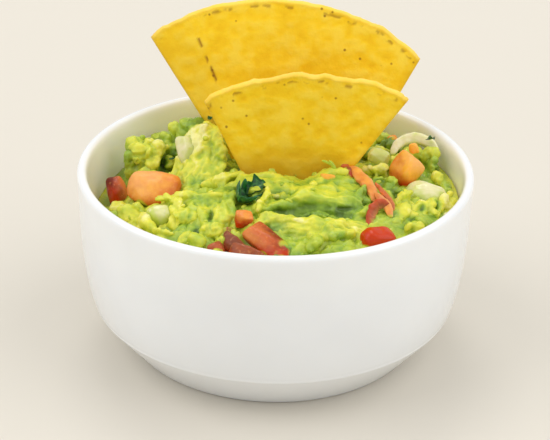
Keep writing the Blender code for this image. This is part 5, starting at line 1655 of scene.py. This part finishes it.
def make_coriander(settings):
    """One curled leaf at the front, and chopped flecks over the heap."""
    finish = finish_of(chopped_coriander)
    leaf = [
        leaf_shape(np.array((-8.8, -12.6, 50.4)) * MM, 10 * MM, (30, 20, 70), 0.9, 3, 28),
        leaf_shape(np.array((-5.4, -9.2, 51.2)) * MM, 6.5 * MM, (24, -10, 20), 0.7, 5, 24),
    ]
    add_piece("coriander_leaf", joined(leaf), finish)
    x, y, rng = scattered(3 * settings.leaf_count, 33, 2 * MM)
    places = np.stack([x, y, np.zeros(len(x))], -1)
    places = places[y > 15 * MM][:settings.leaf_count]
    places[:, 2] = map_at(relief_map()[0], places) + 0.15 * MM
    placed = np.array(((45.4, 20.0, 54.6), (46.2, 18.6, 55.4), (45.8, 18.6, 51.0), (-20.0, 21.6, 59.2), (-31.0, 14.6, 49.0))) * MM
    places = np.concatenate([places, placed])
    flecks = [
        leaf_shape(place, rng.uniform(1.0, 2.6) * MM, rng.uniform(-1, 1, 3) * (25, 25, 180), rng.uniform(0.2, 1.0), k, 8)
        for k, place in enumerate(places)
    ]
    add_piece("coriander_flecks", joined(flecks), finish)


# ---- stage ----

def make_stage(settings):
    """A pale floor, an even pale sky, five wide soft lamps, and the camera."""
    scene = bpy.context.scene
    mesh = bpy.data.meshes.new("floor")
    half = 3.0
    mesh.from_pydata([(-half, -half, 0), (half, -half, 0), (half, half, 0), (-half, half, 0)], [], [(0, 1, 2, 3)])
    mesh.materials.append(finish_of(matt_board))
    floor = bpy.data.objects.new("floor", mesh)
    scene.collection.objects.link(floor)
    world = bpy.data.worlds.new("studio")
    world.use_nodes = True
    background = world.node_tree.nodes["Background"]
    background.inputs["Color"].default_value = (*linear("#FFFFFF"), 1.0)
    background.inputs["Strength"].default_value = SKY
    scene.world = world
    for name, (towards, share, angle) in LAMPS.items():
        lamp = bpy.data.lights.new(name, "SUN")
        lamp.energy = share * settings.light
        lamp.angle = math.radians(angle)
        placed = bpy.data.objects.new(name, lamp)
        placed.rotation_euler = Vector(towards).to_track_quat("Z", "Y").to_euler()
        scene.collection.objects.link(placed)
    forward = Vector((0, math.cos(CAMERA_ELEVATION), -math.sin(CAMERA_ELEVATION)))
    up = Vector((0, math.sin(CAMERA_ELEVATION), math.cos(CAMERA_ELEVATION)))
    side = Vector((1, 0, 0))
    c, s = math.cos(CAMERA_ROLL), math.sin(CAMERA_ROLL)
    rolled_side, rolled_up = c * side + s * up, c * up - s * side
    camera = bpy.data.cameras.new("camera")
    camera.lens = CAMERA_LENS
    camera.shift_x = CAMERA_SHIFT
    camera.clip_start = 0.01
    placed = bpy.data.objects.new("camera", camera)
    turn = Matrix((rolled_side, rolled_up, -forward)).transposed().to_4x4()
    placed.matrix_world = Matrix.Translation(Vector((0, 0, CAMERA_AIM_HEIGHT)) - CAMERA_DISTANCE * forward) @ turn
    scene.collection.objects.link(placed)
    scene.camera = placed
    scene.view_settings.view_transform = "Standard"


def make_chips(settings):
    """Both chips."""
    for name in CHIPS:
        add_piece(name + "_fried", chip_shape(name, settings.blister), finish_of(fried_tortilla), [name])


# ---- operators and panel ----

class GUACAMOLE_OT_bowl(bpy.types.Operator):
    """Make the porcelain bowl"""

    bl_idname = "guacamole.bowl"
    bl_label = "Bowl"

    def execute(self, context):
        make_bowl(context.scene.guacamole)
        return {"FINISHED"}


class GUACAMOLE_OT_heap(bpy.types.Operator):
    """Make the heap of guacamole: core, chunks and strands"""

    bl_idname = "guacamole.heap"
    bl_label = "Guacamole"

    def execute(self, context):
        make_guacamole(context.scene.guacamole)
        return {"FINISHED"}


class GUACAMOLE_OT_crumbs(bpy.types.Operator):
    """Scatter crumbs of avocado over the heap"""

    bl_idname = "guacamole.crumbs"
    bl_label = "Crumbs"

    def execute(self, context):
        make_crumbs(context.scene.guacamole)
        return {"FINISHED"}


class GUACAMOLE_OT_chips(bpy.types.Operator):
    """Make the two tortilla chips"""

    bl_idname = "guacamole.chips"
    bl_label = "Tortilla chips"

    def execute(self, context):
        make_chips(context.scene.guacamole)
        return {"FINISHED"}


class GUACAMOLE_OT_tomato(bpy.types.Operator):
    """Make the diced tomato and the tomato strip"""

    bl_idname = "guacamole.tomato"
    bl_label = "Tomato"

    def execute(self, context):
        make_tomato(context.scene.guacamole)
        return {"FINISHED"}


class GUACAMOLE_OT_onion(bpy.types.Operator):
    """Make the chopped onion"""

    bl_idname = "guacamole.onion"
    bl_label = "Onion"

    def execute(self, context):
        make_onion(context.scene.guacamole)
        return {"FINISHED"}


class GUACAMOLE_OT_coriander(bpy.types.Operator):
    """Make the coriander leaf and flecks"""

    bl_idname = "guacamole.coriander"
    bl_label = "Coriander"

    def execute(self, context):
        make_coriander(context.scene.guacamole)
        return {"FINISHED"}


class GUACAMOLE_OT_stage(bpy.types.Operator):
    """Make the floor, the lamps and the camera"""

    bl_idname = "guacamole.stage"
    bl_label = "Stage"

    def execute(self, context):
        make_stage(context.scene.guacamole)
        return {"FINISHED"}


OPERATORS = (
    GUACAMOLE_OT_bowl, GUACAMOLE_OT_heap, GUACAMOLE_OT_crumbs, GUACAMOLE_OT_chips, GUACAMOLE_OT_tomato,
    GUACAMOLE_OT_onion, GUACAMOLE_OT_coriander, GUACAMOLE_OT_stage,
)


class GUACAMOLE_PT_panel(bpy.types.Panel):
    """Lists the settings and the operators"""

    bl_label = "Guacamole"
    bl_space_type = "VIEW_3D"
    bl_region_type = "UI"
    bl_category = "Guacamole"

    def draw(self, context):
        settings = context.scene.guacamole
        for name in GuacamoleSettings.__annotations__:
            self.layout.prop(settings, name)
        for operator in OPERATORS:
            self.layout.operator(operator.bl_idname)


CLASSES = (GuacamoleSettings, *OPERATORS, GUACAMOLE_PT_panel)


def register():
    for cls in CLASSES:
        bpy.utils.register_class(cls)
    bpy.types.Scene.guacamole = PointerProperty(type=GuacamoleSettings)


def unregister():
    del bpy.types.Scene.guacamole
    for cls in reversed(CLASSES):
        bpy.utils.unregister_class(cls)


def main():
    register()
    for operator in OPERATORS:
        group, name = operator.bl_idname.split(".")
        getattr(getattr(bpy.ops, group), name)()


if __name__ == "__main__":
    main()
